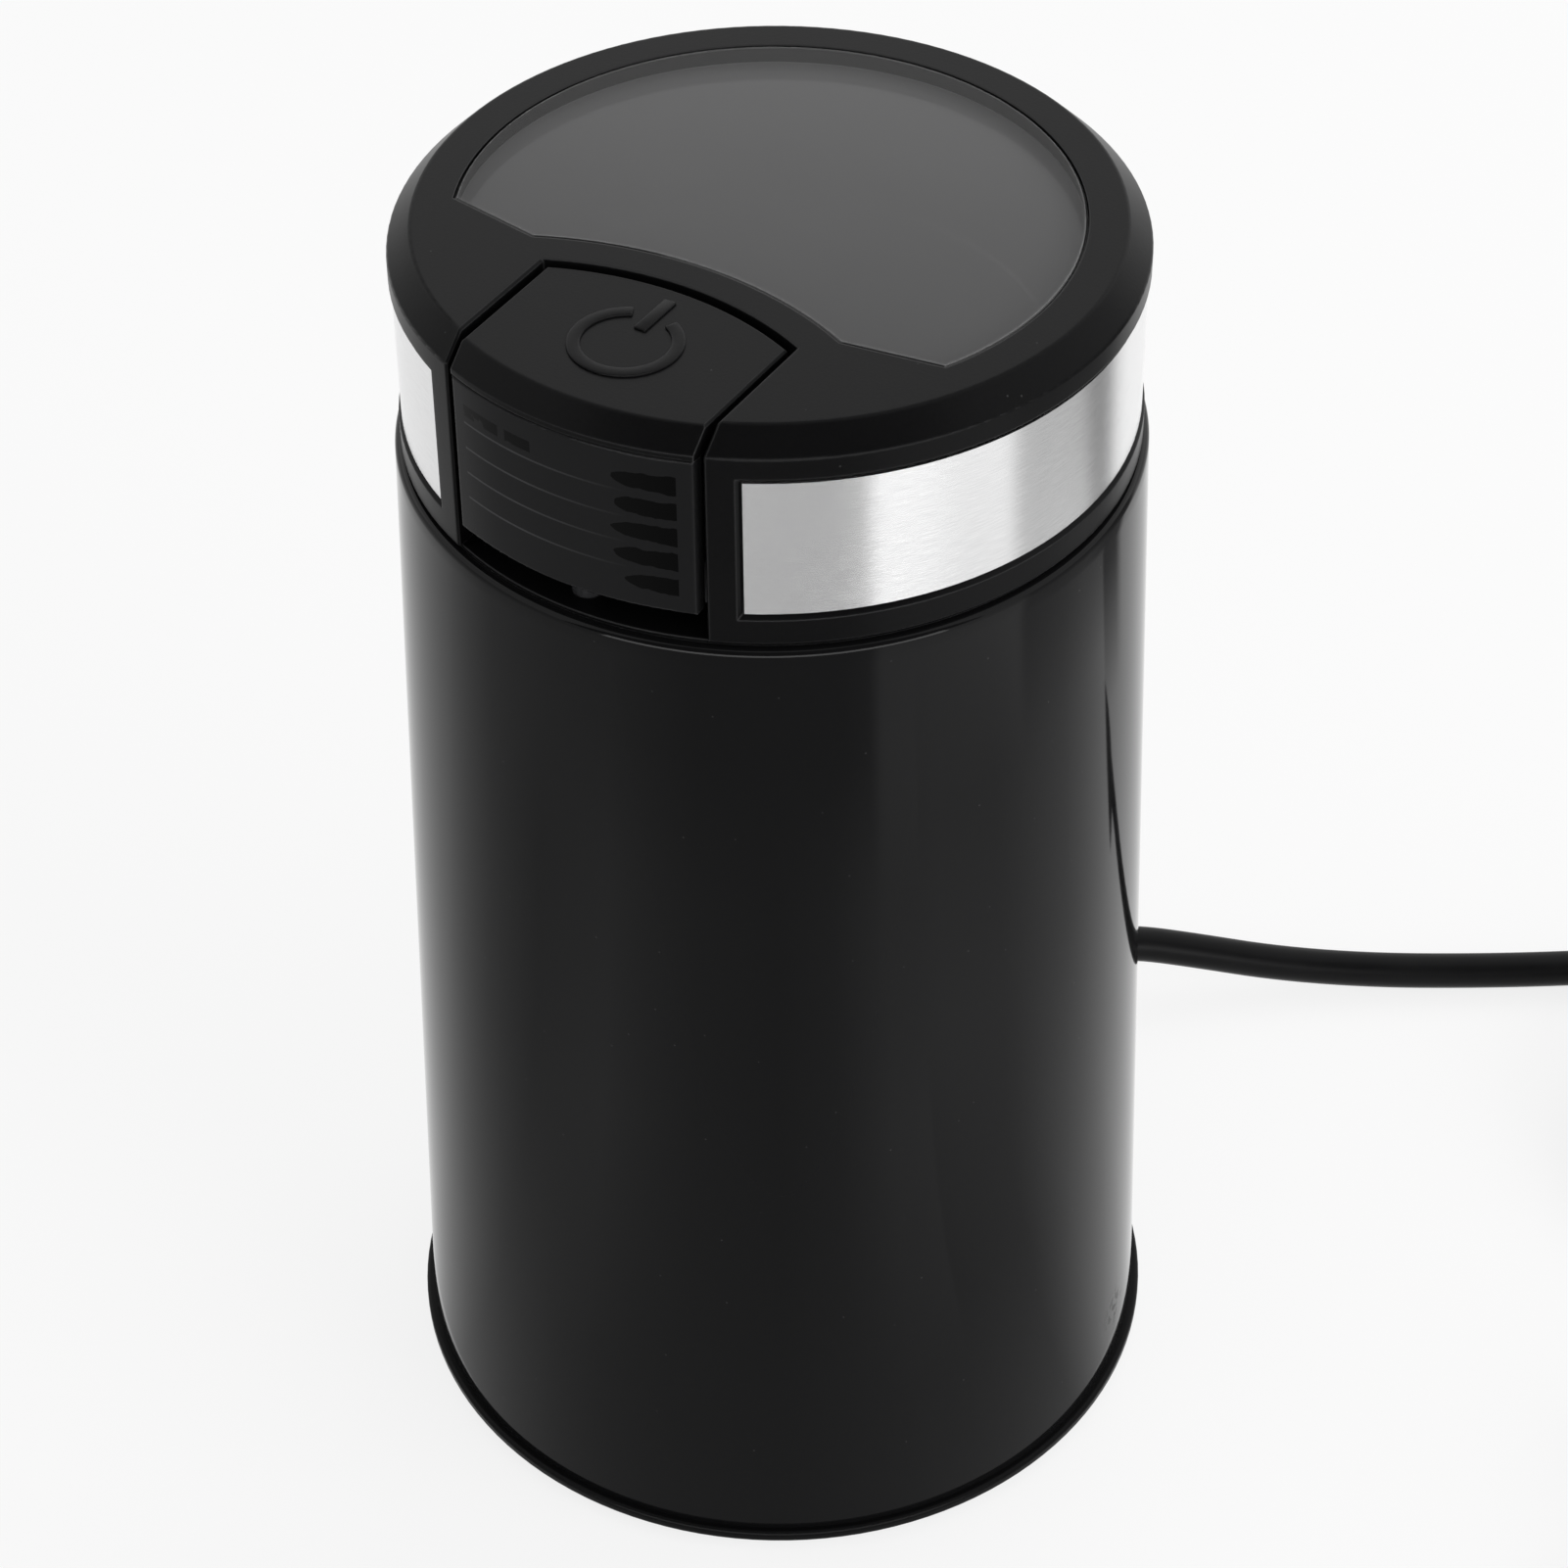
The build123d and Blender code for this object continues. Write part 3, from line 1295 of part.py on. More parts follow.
# Cord tail: the sheathed end of the cord inside the base, under the clamp.
with BuildPart() as cord_tail:
    with BuildSketch(Plane.XZ.offset(-relief_inner + 2)):
        with Locations((0, cord_exit_z)):
            Circle(cord_radius)
    extrude(amount=relief_inner - 2 - tail_end_y)
cord_tail.part.label = "cord_tail"
export_step(cord_tail.part, "parts/cord_tail.step")

# Cord clamp: a bar across the tail, screwed down on two pillars.
clamp_bottom = cord_exit_z + cord_radius + 0.1
with BuildPart() as cord_clamp:
    with BuildSketch(Plane.XY.offset(clamp_bottom)):
        with Locations((0, clamp_y)):
            SlotOverall(2 * clamp_x + 6, 6)
        with Locations((-clamp_x, clamp_y), (clamp_x, clamp_y)):
            Circle(1.15, mode=Mode.SUBTRACT)
    extrude(amount=clamp_bar)
cord_clamp.part.label = "cord_clamp"
export_step(cord_clamp.part, "parts/cord_clamp.step")

# Two clamp screws.
with BuildPart() as clamp_screws:
    with BuildSketch(Plane.XY.offset(clamp_bottom + clamp_bar)):
        with Locations((-clamp_x, clamp_y), (clamp_x, clamp_y)):
            Circle(2)
    extrude(amount=1.2)
    with BuildSketch(Plane.XY.offset(clamp_bottom + clamp_bar)):
        with Locations((-clamp_x, clamp_y), (clamp_x, clamp_y)):
            Circle(small_screw_radius)
    extrude(amount=-8)
clamp_screws.part.label = "clamp_screws"
export_step(clamp_screws.part, "parts/clamp_screws.step")

# Wiring: tail to switch, tail to field coil, and switch to field coil.
coil_wire_y = coil_inner + coil_thickness / 2
live_route = [
    (-1.2, tail_end_y, cord_exit_z),
    (-1.2, tail_end_y - 5, cord_exit_z),
    (-10, 0, cord_exit_z + 0.2),
    (-13, -0.59 * rod_ring, cord_exit_z + 1.5),
    (-13.5, -rod_ring + 1.2, 0.25 * switch_top),
    (-13.5, -rod_ring, 0.62 * switch_top),
    (-11.5, -rod_ring - 0.2, 0.87 * switch_top),
    (switch_x - switch_length / 2 - 4.5, switch_y, switch_top - 4),
    (switch_x - switch_length / 2, switch_y, switch_top - 4),
]
neutral_route = [
    (1.2, tail_end_y, cord_exit_z),
    (1.2, tail_end_y - 4, cord_exit_z),
    (7, tail_end_y - 8.5, cord_exit_z + 0.6),
    (stator_radius - 15, tail_end_y - 8.5, cord_exit_z + 3),
    (stator_radius - 4.5, 15, 0.35 * stator_bottom),
    (stator_radius - 4, 15, 0.67 * stator_bottom),
    (stator_radius - 7.5, coil_wire_y - 2.5, 0.865 * stator_bottom),
    (coil_side + 5, coil_wire_y, stator_bottom - 3),
    (coil_side, coil_wire_y, stator_bottom - 3),
]
return_route = [
    (switch_x + switch_length / 2, switch_y, switch_top - 4),
    (switch_x + switch_length / 2 + 4, switch_y, switch_top - 4),
    (0.554 * post_ring, -0.838 * post_ring, switch_top - 5.5),
    (coil_side + 5, -coil_wire_y, stator_top + 3),
    (coil_side, -coil_wire_y, stator_top + 3),
]
with BuildPart() as wiring:
    with BuildLine() as live_path:
        FilletPolyline(*live_route, radius=corner_radii(live_route))
    with BuildSketch(Plane(origin=live_path.line @ 0, z_dir=live_path.line % 0)):
        Circle(wire_radius)
    sweep()
    with BuildLine() as neutral_path:
        FilletPolyline(*neutral_route, radius=corner_radii(neutral_route))
    with BuildSketch(Plane(origin=neutral_path.line @ 0, z_dir=neutral_path.line % 0)):
        Circle(wire_radius)
    sweep()
    with BuildLine() as return_path:
        FilletPolyline(*return_route, radius=corner_radii(return_route))
    with BuildSketch(Plane(origin=return_path.line @ 0, z_dir=return_path.line % 0)):
        Circle(wire_radius)
    sweep()
wiring.part.label = "wiring"
export_step(wiring.part, "parts/wiring.step")

# Coil of the cord: spirals in on the lower layer, climbs in half a turn, and
# spirals out on the upper layer; both ends run straight for one diameter.
right_way = Vector(cos(radians(view_turn)), sin(radians(view_turn)), 0)
far_way = Vector(-sin(radians(view_turn)), cos(radians(view_turn)), 0)
turn_angle = radians(relief_turn)
relief_end_x = relief_bend * (1 - cos(turn_angle))
relief_end_y = bend_start + relief_bend * sin(turn_angle)
coil_middle = Vector(relief_end_x + coil_right, relief_end_y + coil_back, 0)
lower_z = cord_radius + tie_thickness + clear
upper_z = lower_z + coil_pitch
inner_radius = coil_outer_radius - coil_pitch * coil_turns_layer
all_turns = 2 * coil_turns_layer + 0.5


def coil_point(turn):
    """Centre of the cord in the coil after so many turns."""
    after_climb = turn - coil_turns_layer - 0.5
    if turn <= coil_turns_layer:
        radius = coil_outer_radius - coil_pitch * turn
        height = lower_z
    elif after_climb >= 0:
        radius = inner_radius + coil_pitch * after_climb
        height = upper_z
    else:
        share = (turn - coil_turns_layer) * 2
        radius = inner_radius - coil_pitch * share * (1 - share) / 2
        height = lower_z + coil_pitch * share * share * (3 - 2 * share)
    angle = 2 * pi * turn
    out = right_way * sin(angle) + far_way * cos(angle)
    return coil_middle + out * radius + Vector(0, 0, height)


layer_steps = round(4 * coil_turns_layer)
layer_marks = [coil_turns_layer * step / layer_steps for step in range(layer_steps + 1)]
coil_marks = layer_marks + [coil_turns_layer + 0.25]
coil_marks += [coil_turns_layer + 0.5 + mark for mark in layer_marks]
coil_points = [coil_point(mark) for mark in coil_marks]
coil_headings = [(coil_point(mark + 1e-5) - coil_point(mark - 1e-5)).normalized() for mark in coil_marks]
coil_start = coil_points[0] - coil_headings[0] * (2 * cord_radius)
coil_end = coil_points[-1] + coil_headings[-1] * (2 * cord_radius)
with BuildPart() as cord_coil:
    with BuildLine() as coil_path:
        Line(coil_start, coil_points[0])
        lay_biarcs(coil_points, coil_headings)
        Line(coil_points[-1], coil_end)
    with BuildSketch(Plane(origin=coil_path.line @ 0, z_dir=coil_path.line % 0)):
        Circle(cord_radius)
    sweep()
cord_coil.part.label = "cord_coil"
export_step(cord_coil.part, "parts/cord_coil.step")
coil_length = coil_path.wire().length
samples = [coil_path.wire() @ (step / 900) for step in range(901)]
apart = 0.3 * 2 * pi * inner_radius
least = min(
    (samples[i] - samples[j]).length
    for i in range(901)
    for j in range(i)
    if (i - j) / 900 * coil_length > apart
)
coil_volume = pi * cord_radius * cord_radius * coil_length
print("coil length", round(coil_length, 1), "least gap", round(least - 2 * cord_radius, 2))
print("coil volume", round(cord_coil.part.volume / coil_volume, 4))

# Free stretch of the cord, from the strain relief down to the floor and along
# it to the coil.
cord_route = [
    (relief_end_x, relief_end_y, cord_exit_z),
    (relief_end_x + 5.7 * sin(turn_angle), relief_end_y + 5.7 * cos(turn_angle), cord_exit_z),
    (relief_end_x + 7.7, relief_end_y + 8.3, cord_exit_z - 0.5),
    (relief_end_x + 14.4, relief_end_y + 12.6, cord_exit_z - 2.1),
    (relief_end_x + 25.0, relief_end_y + 19.2, lower_z + 0.7),
    (relief_end_x + 36.9, relief_end_y + 26.2, cord_radius + 0.4),
    (relief_end_x + 48.9, relief_end_y + 33.7, cord_radius + 0.1),
    (relief_end_x + 60.8, relief_end_y + 41.5, cord_radius + 0.1),
    tuple(coil_start - coil_headings[0] * 10),
    tuple(coil_start),
]
cord_radii = corner_radii(cord_route)
with BuildPart() as power_cord:
    with BuildLine() as cord_path:
        FilletPolyline(*cord_route, radius=cord_radii)
    with BuildSketch(Plane(origin=cord_path.line @ 0, z_dir=cord_path.line % 0)):
        Circle(cord_radius)
    sweep()
power_cord.part.label = "power_cord"
export_step(power_cord.part, "parts/power_cord.step")
cord_length = cord_path.wire().length
cord_volume = pi * cord_radius * cord_radius * cord_length
print("cord radii", [round(radius) for radius in cord_radii], "length", round(cord_length, 1))
print("cord volume", round(power_cord.part.volume / cord_volume, 4))

# Lead from the coil to the plug.
plug_z = plug_thickness / 2
plug_way = coil_headings[-1]
plug_side = Vector(plug_way.Y, -plug_way.X, 0)
plug_start = coil_end + plug_way * lead_run + plug_side * 0.6
plug_start = Vector(plug_start.X, plug_start.Y, plug_z)
lead_route = [
    tuple(coil_end),
    tuple(coil_end + plug_way * 8),
    tuple(plug_start - plug_way * 8),
    tuple(plug_start),
]
lead_radii = corner_radii(lead_route)
with BuildPart() as plug_lead:
    with BuildLine() as lead_path:
        FilletPolyline(*lead_route, radius=lead_radii)
    with BuildSketch(Plane(origin=lead_path.line @ 0, z_dir=lead_path.line % 0)):
        Circle(cord_radius)
    sweep()
plug_lead.part.label = "plug_lead"
export_step(plug_lead.part, "parts/plug_lead.step")
lead_length = lead_path.wire().length
print("lead radii", [round(radius) for radius in lead_radii], "length", round(lead_length, 1))
print("whole cord", round(cord_length + coil_length + lead_length, 1))

# Tie round the bundle of the coil.
tie_angle = 2 * pi * tie_turn
tie_out = right_way * sin(tie_angle) + far_way * cos(tie_angle)
tie_inside = min(
    (coil_point(mark) - coil_middle).dot(tie_out)
    for mark in [tie_turn + whole for whole in range(int(all_turns) + 1)]
)
tie_outside = max(
    (coil_point(mark) - coil_middle).dot(tie_out)
    for mark in [tie_turn + whole for whole in range(int(all_turns) + 1)]
)
tie_side = cord_radius + 2 * clear
tie_from = tie_inside - tie_side
tie_to = tie_outside + tie_side
tie_roof = upper_z + cord_radius + clear
tie_place = coil_middle + tie_out * ((tie_from + tie_to) / 2) + Vector(0, 0, (tie_thickness + tie_roof) / 2)
tie_plane = Plane(origin=tie_place, x_dir=tie_out, z_dir=tie_out.cross(Vector(0, 0, 1)))
with BuildPart() as cord_tie:
    with BuildSketch(tie_plane):
        RectangleRounded(tie_to - tie_from + 2 * tie_thickness, tie_roof + tie_thickness, 2.6)
        RectangleRounded(tie_to - tie_from, tie_roof - tie_thickness, 2.0, mode=Mode.SUBTRACT)
    extrude(amount=tie_width / 2, both=True)
cord_tie.part.label = "cord_tie"
export_step(cord_tie.part, "parts/cord_tie.step")

# Plug: a flat moulded body with a tapered boot round the cord.
plug_back = Plane(origin=plug_start, x_dir=plug_side, z_dir=plug_way)
plug_shoulder = plug_back.offset(plug_boot)
plug_waist = plug_back.offset(plug_boot + plug_neck)
plug_face = plug_back.offset(plug_boot + plug_neck + plug_block)
with BuildPart() as plug_body:
    with BuildSketch(plug_back):
        Circle(cord_radius + 1.2)
    with BuildSketch(plug_shoulder):
        Circle(cord_radius + 2.4)
    loft()
    with BuildSketch(plug_shoulder):
        RectangleRounded(14, plug_thickness - 2.5, 4)
    with BuildSketch(plug_waist):
        RectangleRounded(plug_width, plug_thickness, 5)
    loft()
    with BuildSketch(plug_waist):
        RectangleRounded(plug_width, plug_thickness, 5)
    extrude(amount=plug_block)
plug_body.part.label = "plug_body"
export_step(plug_body.part, "parts/plug_body.step")

# Two round plug pins.
with BuildPart() as plug_pins:
    with BuildSketch(plug_face):
        with Locations((-pin_spread / 2, 0), (pin_spread / 2, 0)):
            Circle(pin_radius)
    extrude(amount=pin_length)
    tips = plug_pins.edges().filter_by(GeomType.CIRCLE).sort_by(Axis(plug_start, plug_way))[-2:]
    fillet(tips, 1.2)
plug_pins.part.label = "plug_pins"
export_step(plug_pins.part, "parts/plug_pins.step")
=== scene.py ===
from math import cos, pi, radians, sin

import bmesh
import bpy
from mathutils import Matrix, Vector


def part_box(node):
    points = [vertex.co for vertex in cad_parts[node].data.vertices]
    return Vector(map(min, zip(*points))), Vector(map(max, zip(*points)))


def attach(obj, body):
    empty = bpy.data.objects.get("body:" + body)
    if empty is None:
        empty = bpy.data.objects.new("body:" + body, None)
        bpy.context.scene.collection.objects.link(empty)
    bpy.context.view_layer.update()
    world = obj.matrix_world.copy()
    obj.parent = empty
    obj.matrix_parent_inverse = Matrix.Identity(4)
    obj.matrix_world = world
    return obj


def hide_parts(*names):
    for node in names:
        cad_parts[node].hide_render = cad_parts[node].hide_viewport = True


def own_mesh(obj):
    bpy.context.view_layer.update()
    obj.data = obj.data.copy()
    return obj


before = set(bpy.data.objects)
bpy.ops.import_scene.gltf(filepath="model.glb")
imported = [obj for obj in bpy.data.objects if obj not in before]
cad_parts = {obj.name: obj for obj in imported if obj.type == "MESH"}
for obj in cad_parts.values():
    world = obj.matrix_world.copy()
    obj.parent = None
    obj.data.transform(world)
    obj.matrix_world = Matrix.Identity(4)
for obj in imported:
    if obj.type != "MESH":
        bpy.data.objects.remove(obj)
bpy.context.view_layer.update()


# Studio: a pale paper sheet under the grinder and a white surround, so that black plastic shows
# soft white edges. One wide lamp hangs high behind the grinder, and one stands at its right.
class Wire:
    """One socket of a node tree. Arithmetic on it adds Math nodes."""

    def __init__(self, tree, socket=None):
        self.tree = tree
        self.socket = socket

    def node(self, kind, settings=None, sockets=None, output=0):
        """Adds a node, sets it up, then fills or links its sockets."""
        made = self.tree.nodes.new("ShaderNode" + kind)
        for name, value in (settings or {}).items():
            if name == "stops":
                ramp = made.color_ramp.elements
                while len(ramp) < len(value):
                    ramp.new(0.5)
                for stop, (place, shade) in zip(ramp, value):
                    stop.position = place
                    stop.color = (shade, shade, shade, 1) if isinstance(shade, float) else shade
            else:
                setattr(made, name, value)
        for name, value in (sockets or {}).items():
            if isinstance(value, Wire):
                self.tree.links.new(value.socket, made.inputs[name])
            else:
                made.inputs[name].default_value = value
        return Wire(self.tree, made.outputs[output] if made.outputs else None)

    def maths(self, operation, *values):
        """Adds a Math node that takes these values in order."""
        return self.node("Math", {"operation": operation}, dict(enumerate(values)))

    def __add__(self, other):
        return self.maths("ADD", self, other)

    def __sub__(self, other):
        return self.maths("SUBTRACT", self, other)

    def __rsub__(self, other):
        return self.maths("SUBTRACT", other, self)

    def __mul__(self, other):
        return self.maths("MULTIPLY", self, other)

    def __truediv__(self, other):
        return self.maths("DIVIDE", self, other)

    def __pow__(self, other):
        return self.maths("POWER", self, other)

    def __lt__(self, other):
        return self.maths("LESS_THAN", self, other)

    def __gt__(self, other):
        return self.maths("GREATER_THAN", self, other)

    __radd__ = __add__
    __rmul__ = __mul__

    def blend(self, low, high):
        """A colour from low to high as this value goes from 0 to 1."""
        return self.node("Mix", {"data_type": "RGBA"}, {0: self, 6: low, 7: high}, 2)


def new_finish(name):
    """An empty node material and the wire that its nodes start from."""
    finish = bpy.data.materials.new(name)
    finish.use_nodes = True
    finish.node_tree.nodes.clear()
    return finish, Wire(finish.node_tree)


def seen_directly(start):
    """1 for a ray from the camera, a gloss or a clear piece, 0 for one that carries light."""
    seen = start.node("LightPath", output="Is Camera Ray")
    for ray in ("Is Glossy Ray", "Is Transmission Ray"):
        seen = start.maths("MAXIMUM", seen, start.node("LightPath", output=ray))
    return seen


scene = bpy.context.scene
scene.view_settings.view_transform = "Standard"

surround = bpy.data.worlds.new("studio_surround")
surround.use_nodes = True
surround.node_tree.nodes.clear()
scene.world = surround
air = Wire(surround.node_tree)
air_light = 0.55
strength = air_light + seen_directly(air) * (1 - air_light)
glow = air.node("Background", sockets={"Color": (1, 1, 1, 1), "Strength": strength})
air.node("OutputWorld", sockets={"Surface": glow})

sheet_half = 4.0
sheet_drop = 0.0003
sheet_mesh = bpy.data.meshes.new("floor_sheet")
shape = bmesh.new()
bmesh.ops.create_grid(shape, x_segments=1, y_segments=1, size=sheet_half)
bmesh.ops.translate(shape, verts=shape.verts, vec=(0, 0, -sheet_drop))
shape.to_mesh(sheet_mesh)
shape.free()
floor_sheet = bpy.data.objects.new("floor_sheet", sheet_mesh)
scene.collection.objects.link(floor_sheet)
paper, start = new_finish("white_paper")
paper_glow = seen_directly(start) * 0.82
matt = start.node("BsdfDiffuse", sockets={"Color": (0.92, 0.92, 0.92, 1)})
bright = start.node("Emission", sockets={"Color": (1, 1, 1, 1), "Strength": 1.0})
mixed = start.node("MixShader", sockets={0: paper_glow, 1: matt, 2: bright})
start.node("OutputMaterial", sockets={"Surface": mixed})
sheet_mesh.materials.append(paper)

lamp_aim = Vector((0, 0, 0.1))
lamp_power = 7.0


def hang_lamp(name, place, width, height):
    """A soft rectangular lamp that faces the grinder and isn't mirrored in it."""
    lamp = bpy.data.lights.new(name, "AREA")
    lamp.shape = "RECTANGLE"
    lamp.size = width
    lamp.size_y = height
    lamp.energy = lamp_power
    holder = bpy.data.objects.new(name, lamp)
    holder.location = place
    holder.rotation_euler = (lamp_aim - Vector(place)).to_track_quat("-Z", "Y").to_euler()
    holder.visible_glossy = False
    scene.collection.objects.link(holder)


hang_lamp("overhead_lamp", (0.05, 1.15, 1.25), 1.5, 1.0)
hang_lamp("right_lamp", (1.12, 0.0, 0.5), 0.9, 0.8)

# Reflection cards: a round floor and screen about the grinder, which only its gloss sees. They
# are graded round the compass, with a low shelf on the right, a dark hood over a strip light on
# the camera's side and a pale board behind.
degrees_a_step = 4
card_mesh = bpy.data.meshes.new("reflection_card")
shape = bmesh.new()


def turn_card(outline, first, last):
    """Sweeps an outline of radii and heights about the grinder's axis, angles in degrees."""
    corners = [
        shape.verts.new((reach * cos(radians(first)), reach * sin(radians(first)), level))
        for reach, level in outline
    ]
    edges = [shape.edges.new(pair) for pair in zip(corners, corners[1:])]
    bmesh.ops.spin(
        shape,
        geom=corners + edges,
        cent=(0, 0, 0),
        axis=(0, 0, 1),
        dvec=(0, 0, 0),
        angle=radians(last - first),
        steps=(last - first) // degrees_a_step,
        use_merge=last - first == 360,
    )


card_foot = 0.049
card_floor = -0.0002
card_radius = 1.2
card_top = 0.5
shelf_level = 0.0145
screen_outline = [(card_foot, card_floor), (card_radius, card_floor), (card_radius, card_top)]
shelf_outline = [(card_foot, card_floor / 2), (0.066, shelf_level), (0.26, shelf_level)]
hood_outline = [(card_radius, card_top), (card_radius, 1.6), (0.5, 2.2)]
turn_card(screen_outline, 0, 360)
turn_card(shelf_outline, -20, 50)
turn_card(hood_outline, -118, 2)
turn_card(hood_outline, 62, 182)
shape.to_mesh(card_mesh)
shape.free()
reflection_card = bpy.data.objects.new("reflection_card", card_mesh)
scene.collection.objects.link(reflection_card)
reflection_card.visible_camera = False
reflection_card.visible_diffuse = False
reflection_card.visible_transmission = False
reflection_card.visible_shadow = False


def sides_of(place):
    """The X, Y and Z of a place."""
    return [place.node("SeparateXYZ", sockets={0: place}, output=side) for side in "XYZ"]


board, start = new_finish("graded_board")
place = start.node("TexCoord", output="Object")
across, along, height = sides_of(place)
reach = (across * across + along * along) ** 0.5
camera_at_half = 0.66
bearing = start.maths("ARCTAN2", along, across) * (0.5 / pi) + camera_at_half
bearing = start.maths("FRACT", bearing)


def graded_ring(stops):
    """A ring of greys round the compass, with the camera's side at 0.5."""
    return start.node("ValToRGB", {"stops": stops}, {0: bearing})


close_ring = graded_ring(
    [
        (0.05, 1.0),
        (0.21, 0.85),
        (0.30, 0.50),
        (0.50, 0.40),
        (0.58, 0.50),
        (0.66, 0.45),
        (0.70, 0.75),
        (0.76, 1.0),
    ]
)
near_ring = graded_ring(
    [
        (0.05, 0.95),
        (0.20, 0.78),
        (0.26, 0.52),
        (0.31, 0.45),
        (0.37, 0.72),
        (0.44, 0.47),
        (0.50, 0.38),
        (0.54, 0.48),
        (0.58, 0.80),
        (0.62, 0.82),
        (0.67, 0.66),
        (0.74, 0.74),
        (0.80, 1.0),
    ]
)
far_ring = graded_ring(
    [
        (0.05, 0.95),
        (0.20, 0.78),
        (0.26, 0.52),
        (0.37, 0.60),
        (0.44, 0.36),
        (0.55, 0.31),
        (0.570, 0.40),
        (0.580, 1.0),
        (0.694, 1.0),
        (0.704, 0.48),
        (0.77, 0.42),
        (0.80, 0.20),
        (0.825, 0.22),
        (0.835, 1.0),
    ]
)
outward = start.node("MapRange", sockets={0: reach, 1: 0.07, 2: 0.12})
shade = outward.blend(close_ring, near_ring)
outward = start.node("MapRange", sockets={0: reach, 1: 0.17, 2: 0.21})
shade = outward.blend(shade, far_ring)
aside = start.maths("ABSOLUTE", bearing - 0.5)
hood_shade = 0.06
pale = start.node("MapRange", sockets={0: height, 1: 0.87, 2: 1.01, 3: 1.45, 4: 1.05})
hood = pale * (aside > 0.25) + hood_shade
shade = (height > card_top).blend(shade, hood)
strip_low = 0.10
strip_high = 0.60
strip_half = 0.13
strip_light = (height > strip_low) * (height < strip_high) * (aside < strip_half)
shade = strip_light.blend(shade, (5.0, 5.0, 5.0, 1))
glow = start.node("Emission", sockets={"Color": shade, "Strength": 1.0})
start.node("OutputMaterial", sockets={"Surface": glow})
card_mesh.materials.append(board)

# Camera: a long lens that looks down from above the front right corner, as the picture was
# taken. It stands half a metre away and leans a trifle to one side.
view_place = (0.2105, -0.3330, 0.4252)
view_turn = radians(32.3)
view_drop = radians(40.7)
view_roll = radians(-0.73)
lens = bpy.data.cameras.new("camera")
lens.sensor_width = 36.0
lens.lens = 98.46
lens.shift_x = 0.00483
lens.clip_start = 0.02
lens.clip_end = 20.0
camera = bpy.data.objects.new("camera", lens)
camera.matrix_world = (
    Matrix.Translation(view_place)
    @ Matrix.Rotation(view_turn, 4, "Z")
    @ Matrix.Rotation(pi / 2 - view_drop, 4, "X")
    @ Matrix.Rotation(view_roll, 4, "Z")
)
scene.collection.objects.link(camera)
scene.camera = camera


# Motor iron: stator and armature are stacks of thin punched sheets, varnished dark grey,
# pressed on the shaft and held between the brackets by two long bolts.
def lay_skin(start, sockets):
    """Ends a finish with one skin that has these sockets."""
    skin = start.node("BsdfPrincipled", sockets=sockets)
    start.node("OutputMaterial", sockets={"Surface": skin})


def noise(place, scale, detail):
    """Soft noise over a place, so fine and with so many finer layers."""
    return place.node("TexNoise", sockets={"Vector": place, "Scale": scale, "Detail": detail})


def dress(finish, *names):
    """Gives a finish to CAD nodes that keep their own shape."""
    for name in names:
        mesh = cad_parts[name].data
        mesh.materials.clear()
        mesh.materials.append(finish)


lamination, start = new_finish("varnished_laminations")
place = start.node("TexCoord", output="Object")
height = start.node("SeparateXYZ", sockets={0: place}, output="Z")
sheet_thickness = 0.0005
sheet = start.maths("FRACT", height / sheet_thickness)
sheet_stops = [(0.0, 0.0), (0.12, 1.0), (0.88, 1.0), (1.0, 0.0)]
edge = start.node("ValToRGB", {"stops": sheet_stops}, {0: sheet})
blotch = noise(place, 260.0, 4.0)
tint = (edge * 0.6 + blotch * 0.4).blend((0.045, 0.047, 0.052, 1), (0.20, 0.205, 0.215, 1))
bump = start.node("Bump", sockets={"Strength": 0.5, "Distance": 0.00012, "Height": edge})
lay_skin(
    start,
    {
        "Base Color": tint,
        "Metallic": 0.8,
        "Roughness": 0.42 + blotch * 0.2,
        "Normal": bump,
    },
)
dress(lamination, "stator_core", "armature_core")

# Motor windings: the field coils lie round the stator's poles, the others in the armature's
# slots. All are enamelled copper wire, wound in layers and dipped in clear varnish.
winding, start = new_finish("enamelled_copper")
place = start.node("TexCoord", output="Object")
strand = start.node(
    "TexWave",
    {"wave_type": "BANDS", "bands_direction": "DIAGONAL"},
    {"Vector": place, "Scale": 420.0, "Distortion": 1.2, "Detail": 1.0, "Detail Scale": 0.4},
    "Fac",
)
varnish = noise(place, 150.0, 3.0)
tint = (strand * 0.7 + varnish * 0.3).blend((0.16, 0.045, 0.016, 1), (0.62, 0.25, 0.09, 1))
bump = start.node("Bump", sockets={"Strength": 0.7, "Distance": 0.0002, "Height": strand})
lay_skin(
    start,
    {
        "Base Color": tint,
        "Metallic": 0.85,
        "Roughness": 0.3 + varnish * 0.15,
        "Normal": bump,
    },
)
dress(winding, "field_coils", "armature_windings")

# Commutator: copper bars on a moulded hub, pressed on the shaft below the armature. It is
# turned smooth after assembly and streaked by the brushes.
bars, start = new_finish("commutator_copper")
place = start.node("TexCoord", output="Object")
height = start.node("SeparateXYZ", sockets={0: place}, output="Z")
track = start.node("TexNoise", {"noise_dimensions": "1D"}, {"W": height * 900.0, "Detail": 3.0})
tint = track.blend((0.25, 0.10, 0.05, 1), (0.72, 0.36, 0.19, 1))
lay_skin(start, {"Base Color": tint, "Metallic": 1.0, "Roughness": 0.22 + track * 0.2})
dress(bars, "commutator")

